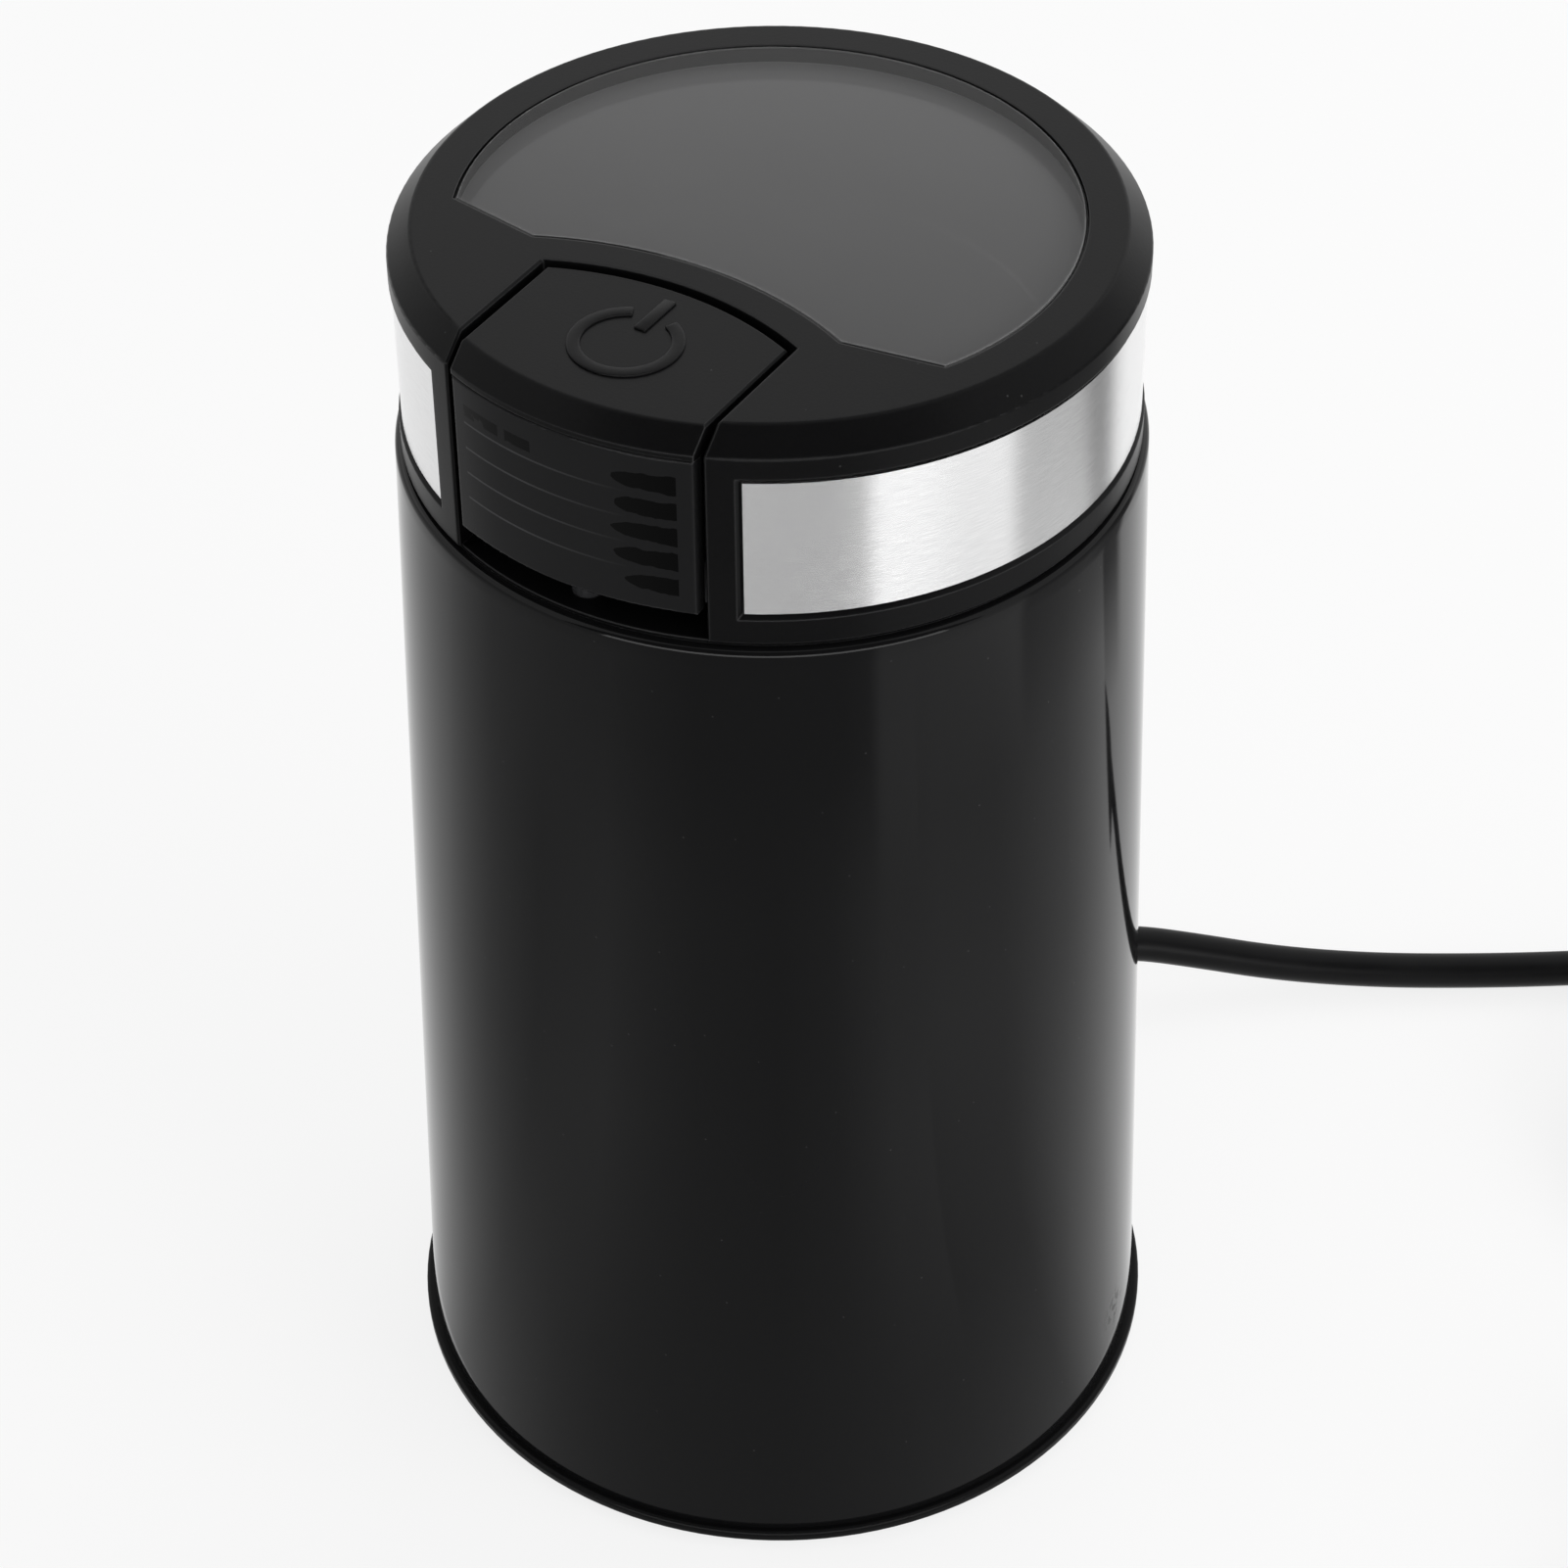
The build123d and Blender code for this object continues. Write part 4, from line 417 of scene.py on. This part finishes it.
# Brushes: two blocks of pressed carbon with a sooty, slightly open grain. They slide in their
# holders, and springs push them against the commutator.
carbon, start = new_finish("brush_carbon")
place = start.node("TexCoord", output="Object")
grain = noise(place, 1800.0, 2.0)
tint = grain.blend((0.012, 0.012, 0.013, 1), (0.05, 0.05, 0.052, 1))
bump = start.node("Bump", sockets={"Strength": 0.3, "Distance": 0.0001, "Height": grain})
lay_skin(start, {"Base Color": tint, "Roughness": 0.6 + grain * 0.2, "Normal": bump})
dress(carbon, "carbon_brushes")

# Bearings: two sleeves of sintered bronze, open-pored and soaked in oil. Each is pressed into
# its bracket and carries one end of the shaft.
bronze, start = new_finish("sintered_bronze")
place = start.node("TexCoord", output="Object")
pores = start.node("TexVoronoi", sockets={"Vector": place, "Scale": 2600.0}, output="Distance")
tint = pores.blend((0.20, 0.12, 0.045, 1), (0.55, 0.37, 0.16, 1))
lay_skin(start, {"Base Color": tint, "Metallic": 0.9, "Roughness": 0.32 + pores * 0.25})
dress(bronze, "upper_bearing", "lower_bearing")

# Shaft, bolts, screws, blade nut and the brushes' springs: drawn or rolled steel, turned or
# cold headed, with a bright zinc plating that has dulled a little in patches.
plated, start = new_finish("bright_zinc")
place = start.node("TexCoord", output="Object")
cloud = noise(place, 500.0, 4.0)
fine = noise(place, 6000.0, 2.0)
tint = cloud.blend((0.46, 0.47, 0.49, 1), (0.66, 0.67, 0.69, 1))
bump = start.node("Bump", sockets={"Strength": 0.12, "Distance": 0.00005, "Height": fine})
lay_skin(
    start,
    {
        "Base Color": tint,
        "Metallic": 1.0,
        "Roughness": 0.2 + cloud * 0.16,
        "Normal": bump,
    },
)
dress(
    plated,
    "motor_shaft",
    "motor_bolts",
    "mount_screws",
    "collar_screws",
    "base_screws",
    "switch_screws",
    "clamp_screws",
    "brush_springs",
    "blade_spacer",
    "blade_nut",
)


# Return springs: spring wire wound into open coils. One stands on the rod's guide and two on
# the floor of the button's bay.
def wind_spring(name, feet, coil_radius, length, turns):
    """Coils of wire that stand upright on their feet, the left ones wound the other way."""
    wire_radius = 0.0003
    steps_a_turn = 24
    steps = steps_a_turn * turns
    rise = (length - 2 * wire_radius) / steps
    coils = bmesh.new()
    for x, y, z in feet:
        hand = -1 if x < 0 else 1
        across = Matrix.Translation((x + hand * coil_radius, y, z + wire_radius))
        across = across @ Matrix.Rotation(pi / 2, 4, "X")
        ring = bmesh.ops.create_circle(coils, segments=10, radius=wire_radius, matrix=across)
        ring_edges = {edge for corner in ring["verts"] for edge in corner.link_edges}
        bmesh.ops.spin(
            coils,
            geom=ring["verts"] + list(ring_edges),
            cent=(x, y, z),
            axis=(0, 0, 1),
            dvec=(0, 0, rise),
            angle=hand * 2 * pi * turns,
            steps=steps,
        )
    bmesh.ops.holes_fill(coils, edges=[edge for edge in coils.edges if edge.is_boundary])
    bmesh.ops.recalc_face_normals(coils, faces=coils.faces)
    for face in coils.faces:
        face.smooth = len(face.verts) == 4
    mesh = bpy.data.meshes.new(name)
    coils.to_mesh(mesh)
    coils.free()
    mesh.materials.append(plated)
    spring = bpy.data.objects.new(name, mesh)
    scene.collection.objects.link(spring)
    return spring


rod_length = 0.01897
rod_foot = (0, -0.0372, 0.108)
rod_coil = wind_spring("rod_coil", [rod_foot], coil_radius=0.0024, length=rod_length, turns=8)
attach(rod_coil, "housing")
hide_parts("rod_spring")
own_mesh(rod_coil)

bay_length = 0.00817
bay_feet = [(-0.009056, -0.02698, 0.158), (0.009056, -0.02698, 0.158)]
button_coils = wind_spring(
    "button_coils", bay_feet, coil_radius=0.00245, length=bay_length, turns=4
)
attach(button_coils, "lid")
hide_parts("button_springs")
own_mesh(button_coils)

# Inner mouldings: brackets, fan, brush holders, switch and bowl housing are plain dark
# glass-filled plastic, straight from a lightly textured tool.
moulding, start = new_finish("dark_moulding")
place = start.node("TexCoord", output="Object")
flow = noise(place, 90.0, 3.0)
speck = noise(place, 3500.0, 2.0)
tint = (flow * 0.5 + speck * 0.5).blend((0.010, 0.010, 0.011, 1), (0.028, 0.028, 0.030, 1))
bump = start.node("Bump", sockets={"Strength": 0.2, "Distance": 0.00006, "Height": speck})
lay_skin(
    start,
    {
        "Base Color": tint,
        "Roughness": 0.45 + flow * 0.15,
        "Specular IOR Level": 0.3,
        "Normal": bump,
    },
)
dress(
    moulding,
    "upper_bracket",
    "lower_bracket",
    "cooling_fan",
    "brush_holders",
    "micro_switch",
    "switch_lever",
    "bowl_housing",
    "push_rod",
    "lid_liner",
    "cord_clamp",
)

# Rubber: the feet, the motor's grommets and the seals of bowl and shaft. They are pressed from
# black rubber, pushed into their seats, and have a faint bloom.
rubber, start = new_finish("black_rubber")
place = start.node("TexCoord", output="Object")
bloom = noise(place, 240.0, 5.0)
tint = bloom.blend((0.012, 0.012, 0.012, 1), (0.040, 0.039, 0.038, 1))
bump = start.node("Bump", sockets={"Strength": 0.25, "Distance": 0.00008, "Height": bloom})
lay_skin(
    start,
    {
        "Base Color": tint,
        "Roughness": 0.62 + bloom * 0.2,
        "Specular IOR Level": 0.25,
        "Normal": bump,
    },
)
dress(rubber, "rubber_feet", "mount_grommets", "bowl_seal", "shaft_seal")

# Wiring: stranded wire in soft dark insulation, laid from the cord to the switch and on to the
# brushes, and held by its soldered ends.
insulation, start = new_finish("wire_insulation")
place = start.node("TexCoord", output="Object")
drift = noise(place, 180.0, 2.0)
tint = drift.blend((0.022, 0.022, 0.024, 1), (0.055, 0.055, 0.058, 1))
lay_skin(start, {"Base Color": tint, "Roughness": 0.38 + drift * 0.2})
dress(insulation, "wiring")

# Bowl: one cup of drawn stainless steel, seated on its seal in the housing. It is polished on
# the lathe, so fine rings run round its wall.
spun, start = new_finish("spun_stainless")
place = start.node("TexCoord", output="Object")
across, along, height = sides_of(place)
radius = (across * across + along * along) ** 0.5
lathe = (radius + height) * 4200.0
ring = start.node("TexNoise", {"noise_dimensions": "1D"}, {"W": lathe, "Detail": 3.0})
smear = noise(place, 60.0, 3.0)
tint = ring.blend((0.50, 0.50, 0.51, 1), (0.66, 0.66, 0.67, 1))
bump = start.node("Bump", sockets={"Strength": 0.2, "Distance": 0.00004, "Height": ring})
lay_skin(
    start,
    {
        "Base Color": tint,
        "Metallic": 1.0,
        "Roughness": 0.16 + ring * 0.1 + smear * 0.1,
        "Normal": bump,
    },
)
dress(spun, "grinding_bowl")

# Blade: two bent wings stamped from stainless steel, ground along their cutting edges, so fine
# lines run across them. It is clamped on the shaft by a nut.
ground, start = new_finish("ground_blade_steel")
place = start.node("TexCoord", output="Object")
grinding = {"Vector": place, "Rotation": (0, 0, 0.4), "Scale": (4000.0, 120.0, 400.0)}
turned = start.node("Mapping", sockets=grinding)
line = noise(turned, 1.0, 3.0)
tint = line.blend((0.48, 0.48, 0.49, 1), (0.68, 0.68, 0.69, 1))
bump = start.node("Bump", sockets={"Strength": 0.25, "Distance": 0.00004, "Height": line})
lay_skin(
    start,
    {
        "Base Color": tint,
        "Metallic": 1.0,
        "Roughness": 0.2 + line * 0.16,
        "Normal": bump,
    },
)
dress(ground, "blade")

# Body shell: one flared tube of high-gloss black plastic, moulded with a rounded top edge. It
# stands on the base plate's rim, and a window low at the rear lets the strain relief through.
# Its skin waves very slightly, carries a little dust, and is scuffed low down at the right.
shell_low, shell_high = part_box("body_shell")
shell_flare = 0.004
shell_wall = 0.0022
shell_edge = 0.0008
relief_half = 0.0035
relief_height = 0.009
shell_slope = shell_flare / (shell_high.z - shell_low.z)


def shell_point(level, depth=0.0):
    """A point of the shell's section, so deep below its outer skin."""
    return (shell_high.x - depth - (level - shell_low.z) * shell_slope, 0, level)


levels = [
    shell_low.z,
    relief_height - relief_half,
    relief_height + relief_half,
    shell_high.z - 3 * shell_edge,
    shell_high.z,
]
shape = bmesh.new()
corners = [shape.verts.new(shell_point(level)) for level in levels]
corners += [shape.verts.new(shell_point(level, shell_wall)) for level in reversed(levels)]
edges = [shape.edges.new((corners[side - 1], corners[side])) for side in range(len(corners))]
bmesh.ops.spin(
    shape,
    geom=corners + edges,
    cent=(0, 0, 0),
    axis=(0, 0, 1),
    dvec=(0, 0, 0),
    angle=2 * pi,
    steps=240,
    use_merge=True,
)
bmesh.ops.remove_doubles(shape, verts=shape.verts, dist=1e-6)
bmesh.ops.recalc_face_normals(shape, faces=shape.faces)
window = []
for face in shape.faces:
    middle = face.calc_center_median()
    beside = abs(middle.x) < relief_half and middle.y > 0
    if beside and abs(middle.z - relief_height) < relief_half:
        window.append(face)
bmesh.ops.delete(shape, geom=window, context="FACES")
bmesh.ops.bridge_loops(shape, edges=[edge for edge in shape.edges if edge.is_boundary])
bmesh.ops.recalc_face_normals(shape, faces=shape.faces)
top_ring = []
for edge in shape.edges:
    ends = [end.co for end in edge.verts]
    outside = min(end.xy.length for end in ends) > shell_high.x - shell_flare - shell_wall / 2
    if outside and min(end.z for end in ends) > shell_high.z - shell_edge:
        top_ring.append(edge)
bmesh.ops.bevel(
    shape, geom=top_ring, offset=shell_edge, affect="EDGES", segments=6, profile=0.5, material=-1
)
for face in shape.faces:
    face.smooth = True
for edge in shape.edges:
    edge.smooth = edge.calc_face_angle(0.0) < 0.6
shell_mesh = bpy.data.meshes.new("gloss_shell")
shape.to_mesh(shell_mesh)
shape.free()
gloss_shell = bpy.data.objects.new("gloss_shell", shell_mesh)
scene.collection.objects.link(gloss_shell)

gloss, start = new_finish("gloss_black_plastic")
place = start.node("TexCoord", output="Object")
swell = noise(place, 55.0, 1.0)
dust = start.node("TexVoronoi", sockets={"Vector": place, "Scale": 320.0}, output="Distance")
speck = dust < 0.035
film = noise(place, 35.0, 5.0)
scuff_place = (0.0454, 0.0075, 0.0115)
spread = start.node("VectorMath", {"operation": "DISTANCE"}, {0: place, 1: scuff_place}, "Value")
scratch = noise(place, 900.0, 4.0)
scuff = start.node("MapRange", sockets={0: spread, 1: 0.0055, 2: 0.001}) * (scratch > 0.52)
tint = start.maths("MAXIMUM", speck * 0.6, scuff * 0.5)
tint = tint.blend((0.0058, 0.0058, 0.0061, 1), (0.05, 0.05, 0.05, 1))
bump = start.node("Bump", sockets={"Strength": 0.05, "Distance": 0.0004, "Height": swell})
lay_skin(
    start,
    {
        "Base Color": tint,
        "Roughness": 0.045 + film * 0.05 + scuff * 0.3,
        "Specular IOR Level": 0.15,
        "Normal": bump,
    },
)
shell_mesh.materials.append(gloss)
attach(gloss_shell, "housing")
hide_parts("body_shell")


# Base plate, collar, lid cover and button: black plastic with the satin skin of an eroded
# tool. Their edges are paler, partly from wear in handling and partly as a painted highlight
# where they catch light.
def rounded_normal(start, reach):
    """The normal of a piece as if its edges were rounded by so much."""
    return start.node("Bevel", {"samples": 6}, {"Radius": reach})


def edge_mask(start, rounded):
    """1 along a piece's edges and 0 on its faces, from a rounded normal against the true one."""
    true = start.node("NewGeometry", output="Normal")
    match = start.node("VectorMath", {"operation": "DOT_PRODUCT"}, {0: rounded, 1: true}, "Value")
    return start.node("MapRange", sockets={0: match, 1: 0.99, 2: 0.86})


satin, start = new_finish("satin_black_plastic")
place = start.node("TexCoord", output="Object")
grain = noise(place, 2600.0, 3.0)
worn = noise(place, 45.0, 4.0)
tint = (grain * 0.5 + worn * 0.5).blend((0.0022, 0.0022, 0.0024, 1), (0.0060, 0.0060, 0.0063, 1))
dust = start.node("TexVoronoi", sockets={"Vector": place, "Scale": 260.0}, output="Distance")
tint = ((dust < 0.03) * 0.7).blend(tint, (0.05, 0.05, 0.05, 1))
rounded = rounded_normal(start, 0.0003)
# Paler edges: partly wear, partly a painted highlight along them.
tint = edge_mask(start, rounded).blend(tint, (0.05, 0.05, 0.051, 1))
bump = start.node(
    "Bump", sockets={"Strength": 0.16, "Distance": 0.00005, "Height": grain, "Normal": rounded}
)
lay_skin(
    start,
    {
        "Base Color": tint,
        "Roughness": 0.24 + worn * 0.12,
        "Specular IOR Level": 0.08,
        "Normal": bump,
    },
)
dress(satin, "base_plate", "top_collar", "lid_cover", "power_button")

# Power sign: an open ring and a bar, moulded proud of the button's cap in one piece with it.
# Both have the cap's satin skin, and their edges are softened.
sign_middle = Vector((0, -0.0284, 0))
sign_low = 0.16795
sign_high = 0.16838
sign_round = 0.00016
ring_inner = 0.0048
ring_outer = 0.0063
opening = radians(25)
bar_size = (0.0015, 0.0061, sign_high - sign_low)
bar_middle = sign_middle + Vector((0, 0.00565, (sign_low + sign_high) / 2))
sign_mesh = bpy.data.meshes.new("power_sign")
shape = bmesh.new()
section = [
    (ring_inner, sign_low),
    (ring_outer, sign_low),
    (ring_outer, sign_high),
    (ring_inner, sign_high),
]
corners = [
    shape.verts.new(sign_middle + Vector((reach * sin(opening), reach * cos(opening), level)))
    for reach, level in section
]
edges = [shape.edges.new((corners[side - 1], corners[side])) for side in range(4)]
bmesh.ops.spin(
    shape,
    geom=corners + edges,
    cent=sign_middle,
    axis=(0, 0, -1),
    dvec=(0, 0, 0),
    angle=2 * pi - 2 * opening,
    steps=84,
)
bmesh.ops.holes_fill(shape, edges=[edge for edge in shape.edges if edge.is_boundary], sides=4)
bar = bmesh.ops.create_cube(shape, size=1.0)["verts"]
bmesh.ops.scale(shape, verts=bar, vec=bar_size)
bmesh.ops.translate(shape, verts=bar, vec=bar_middle)
bmesh.ops.recalc_face_normals(shape, faces=shape.faces)
rims = [edge for edge in shape.edges if edge.is_manifold and edge.calc_face_angle() > 1.0]
bmesh.ops.bevel(
    shape, geom=rims, offset=sign_round, affect="EDGES", segments=3, profile=0.5, material=-1
)
for face in shape.faces:
    face.smooth = True
shape.to_mesh(sign_mesh)
shape.free()
power_sign = bpy.data.objects.new("power_sign", sign_mesh)
scene.collection.objects.link(power_sign)
sign_mesh.materials.append(satin)
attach(power_sign, "button")

# Steel band: a strip of stainless steel, brushed along its length, bent round the lid and let
# into its skirt. Its gloss is drawn out across the brush lines.
brushed, start = new_finish("brushed_stainless")
place = start.node("TexCoord", output="Object")
across, along, height = sides_of(place)
turn = start.maths("ARCTAN2", across, along)
strip = start.node("CombineXYZ", sockets={0: turn * 14.0, 1: height * 9000.0, 2: 0.0})
line = noise(strip, 1.0, 3.0)
tint = line.blend((0.74, 0.74, 0.745, 1), (1.0, 1.0, 1.0, 1))
bump = start.node("Bump", sockets={"Strength": 0.3, "Distance": 0.00003, "Height": line})
lay_skin(
    start,
    {
        "Base Color": tint,
        "Metallic": 1.0,
        "Roughness": 0.18 + line * 0.06,
        "Anisotropic": 0.95,
        "Anisotropic Rotation": 0.25,
        "Normal": bump,
    },
)
dress(brushed, "steel_band")

# Lid window: a flush pane of smoked clear plastic, moulded, glossy on top and snapped into the
# cover from below, which hides its flange. Its dark side wall shows through at the far side, its
# underside is hazy, with painted light that makes it paler towards the rear, and its top edges
# carry a painted highlight, where light gathers in them.
pane_thickness = 0.0022
pane_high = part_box("lid_window")[1].z
pane_low = pane_high - pane_thickness
hair = 0.00005
shape = bmesh.new()
shape.from_mesh(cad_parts["lid_window"].data)
bmesh.ops.remove_doubles(shape, verts=shape.verts, dist=1e-6)
flange = []
for corner in shape.verts:
    reach_up = max(end.co.z for edge in corner.link_edges for end in edge.verts)
    if reach_up < pane_low + hair:
        flange.append(corner)
bmesh.ops.delete(shape, geom=flange, context="VERTS")
bmesh.ops.holes_fill(shape, edges=[edge for edge in shape.edges if edge.is_boundary])
bmesh.ops.recalc_face_normals(shape, faces=shape.faces)
for face in shape.faces:
    face.smooth = True
for edge in shape.edges:
    edge.smooth = edge.calc_face_angle(0.0) < 0.3
pane_mesh = bpy.data.meshes.new("smoked_pane")
shape.to_mesh(pane_mesh)
shape.free()
smoked_pane = bpy.data.objects.new("smoked_pane", pane_mesh)
scene.collection.objects.link(smoked_pane)

smoked, start = new_finish("smoked_clear_plastic")
place = start.node("TexCoord", output="Object")
depth = start.node("SeparateXYZ", sockets={0: place}, output="Y")
height = start.node("SeparateXYZ", sockets={0: place}, output="Z")
cloud = noise(place, 30.0, 3.0)
# Painted light: the underside's haze grows paler towards the rear.
rearward_light = start.node("MapRange", sockets={0: depth, 1: -0.02, 2: 0.035})
haze_and_light = (rearward_light * 0.7 + cloud * 0.3).blend((0.26, 0.26, 0.263, 1), (0.48, 0.48, 0.485, 1))
above = height > pane_low + hair
side_wall = above * (height < pane_high - hair)
lit_edge = 0.0004
near_top = height > pane_high - lit_edge
gathered = edge_mask(start, rounded_normal(start, 0.0005)) * near_top * 0.7
tint = above.blend(haze_and_light, (0.002, 0.002, 0.002, 1))
tint = gathered.blend(tint, (0.45, 0.45, 0.455, 1))
top_cover = 0.50
under_cover = 0.78
cover = start.maths("MAXIMUM", side_wall, gathered)
cover = start.maths("MAXIMUM", cover, under_cover - above * (under_cover - top_cover))
lay_skin(
    start,
    {
        "Base Color": tint,
        "Roughness": 0.09 + cloud * 0.02,
        "Specular IOR Level": 0.42,
        "Alpha": cover,
    },
)
pane_mesh.materials.append(smoked)
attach(smoked_pane, "lid")
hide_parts("lid_window")

# Button panel: a plate of smoked plastic, hooked to the button below its cap. Four ribs and a
# frame behind it show through as paler lines. Dark patches at the right and at the top left are
# painted shade between the ribs, and a painted highlight runs along the plate's edges.
plate, start = new_finish("smoked_panel_plastic")
place = start.node("TexCoord", output="Object")
across = start.node("SeparateXYZ", sockets={0: place}, output="X")
height = start.node("SeparateXYZ", sockets={0: place}, output="Z")
panel_low, panel_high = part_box("button_panel")
frame_width = 0.0017
rows = 5
rib_pitch = (panel_high.z - panel_low.z - 2 * frame_width) / rows
row = (height - (panel_low.z + frame_width)) / rib_pitch
ripple = noise(place, 380.0, 3.0) - 0.5
offset = start.maths("ABSOLUTE", start.maths("FRACT", row) - 0.5)
inside = (row > 0.0) * (row < rows) * (across > panel_low.x + frame_width)
inside = inside * (across < panel_high.x - frame_width)
rib_start = 0.465
rib = (offset > rib_start) * (row > 0.5) * (row < rows - 0.5) * inside
rib = rib * start.node("MapRange", sockets={0: across, 1: 0.008, 2: -0.006})
# Painted shade: dark patches towards the right end of each row.
shade_left = 0.0062 + (row < 1.0) * 0.0014
shade_round = 0.0018
shade_half = 0.27 + (across - shade_left) * 13.0
reach = (across - shade_left + ripple * 0.003) / shade_round
reach = start.maths("MINIMUM", start.maths("MAXIMUM", reach, 0.0), 1.0) ** 0.5
shade_patch = inside * ((offset + ripple * 0.35) < reach * shade_half) * (reach > 0.01)
# More painted shade: a dark strip at the top left of the top row, broken by a gap.
top_shade_right = -0.0035
top_shade_gap = start.maths("ABSOLUTE", across + 0.0075) < 0.0005
top_row_shade = (across < top_shade_right) * (row > rows - 0.72) * (row < rows - 0.28) * (ripple > -0.05)
top_row_shade = top_row_shade * inside * (1 - top_shade_gap)
shade_patch = start.maths("MAXIMUM", shade_patch, top_row_shade)
tint = shade_patch.blend((0.0125, 0.0125, 0.013, 1), (0.0008, 0.0008, 0.0008, 1))
tint = rib.blend(tint, (0.055, 0.055, 0.057, 1))
rounded = rounded_normal(start, 0.0003)
# Painted highlight: the plate's edges are paler, where they catch light.
tint = edge_mask(start, rounded).blend(tint, (0.08, 0.08, 0.082, 1))
lay_skin(
    start,
    {
        "Base Color": tint,
        "Roughness": 0.13 + ripple * 0.06,
        "Specular IOR Level": 0.08,
        "Normal": rounded,
    },
)
dress(plate, "button_panel")

# Cord: a round two-core mains lead in a soft black sheath. It leaves the strain relief at the
# rear, runs off to the right, and the rest is put away in a tied coil of two layers.
sheath, start = new_finish("cord_sheath")
place = start.node("TexCoord", output="Object")
drift = noise(place, 140.0, 3.0)
fine = noise(place, 2600.0, 2.0)
tint = drift.blend((0.0045, 0.0045, 0.0048, 1), (0.010, 0.010, 0.0104, 1))
bump = start.node("Bump", sockets={"Strength": 0.12, "Distance": 0.00005, "Height": fine})
lay_skin(
    start,
    {
        "Base Color": tint,
        "Roughness": 0.34 + drift * 0.12,
        "Specular IOR Level": 0.1,
        "Normal": bump,
    },
)
dress(sheath, "strain_relief", "cord_tail", "plug_body", "cord_tie")

cord_radius = 0.0025
cord_points = [
    (0.00604, 0.06528, 0.0090),
    (0.00955, 0.06977, 0.0090),
    (0.01374, 0.07358, 0.0085),
    (0.02044, 0.07788, 0.0069),
    (0.03104, 0.08448, 0.0041),
    (0.04294, 0.09148, 0.0029),
    (0.05494, 0.09898, 0.0026),
    (0.06684, 0.10678, 0.0026),
    (0.08009, 0.11537, 0.0034),
]
coil_middle = Vector((0.11104, 0.09448, 0))
coil_right = Vector((0.84526, 0.53435, 0))
coil_far = Vector((-0.53435, 0.84526, 0))
coil_pitch = 0.0056
layer_turns = 2.4375
climb_turns = 0.5
coil_outer = 0.0338
coil_inner = coil_outer - coil_pitch * layer_turns
low_layer = 0.0034
high_layer = low_layer + coil_pitch
steps_a_turn = 24
for step in range(round((2 * layer_turns + climb_turns) * steps_a_turn) + 1):
    turn = step / steps_a_turn
    if turn <= layer_turns:
        loop = coil_outer - coil_pitch * turn
        level = low_layer
    elif turn <= layer_turns + climb_turns:
        share = (turn - layer_turns) / climb_turns
        loop = coil_inner - coil_pitch / 2 * share * (1 - share)
        level = low_layer + coil_pitch * share * share * (3 - 2 * share)
    else:
        loop = coil_inner + coil_pitch * (turn - layer_turns - climb_turns)
        level = high_layer
    angle = 2 * pi * turn
    spot = coil_middle + coil_right * loop * sin(angle) + coil_far * loop * cos(angle)
    cord_points.append((spot.x, spot.y, level))
cord_points += [
    (0.14149, 0.07429, 0.0090),
    (0.13896, 0.06460, 0.00675),
    (0.13741, 0.05675, 0.00675),
]
cord_line = bpy.data.curves.new("mains_cord", "CURVE")
cord_line.dimensions = "3D"
cord_line.bevel_depth = cord_radius
cord_line.bevel_resolution = 6
cord_line.resolution_u = 6
cord_line.use_fill_caps = True
run = cord_line.splines.new("NURBS")
run.points.add(len(cord_points) - 1)
for knot, spot in zip(run.points, cord_points):
    knot.co = (*spot, 1)
run.order_u = 3
run.use_endpoint_u = True
run.use_smooth = True
mains_cord = bpy.data.objects.new("mains_cord", cord_line)
scene.collection.objects.link(mains_cord)
cord_line.materials.append(sheath)
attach(mains_cord, "housing")
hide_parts("power_cord", "cord_coil", "plug_lead")

# Plug pins: two round pins of turned brass with a plating of nickel, rubbed a little in use.
# The plug's body is moulded round their inner ends.
nickel, start = new_finish("nickel_plate")
place = start.node("TexCoord", output="Object")
rub = noise(place, 700.0, 4.0)
tint = rub.blend((0.58, 0.56, 0.52, 1), (0.74, 0.72, 0.68, 1))
lay_skin(start, {"Base Color": tint, "Metallic": 1.0, "Roughness": 0.16 + rub * 0.16})
dress(nickel, "plug_pins")
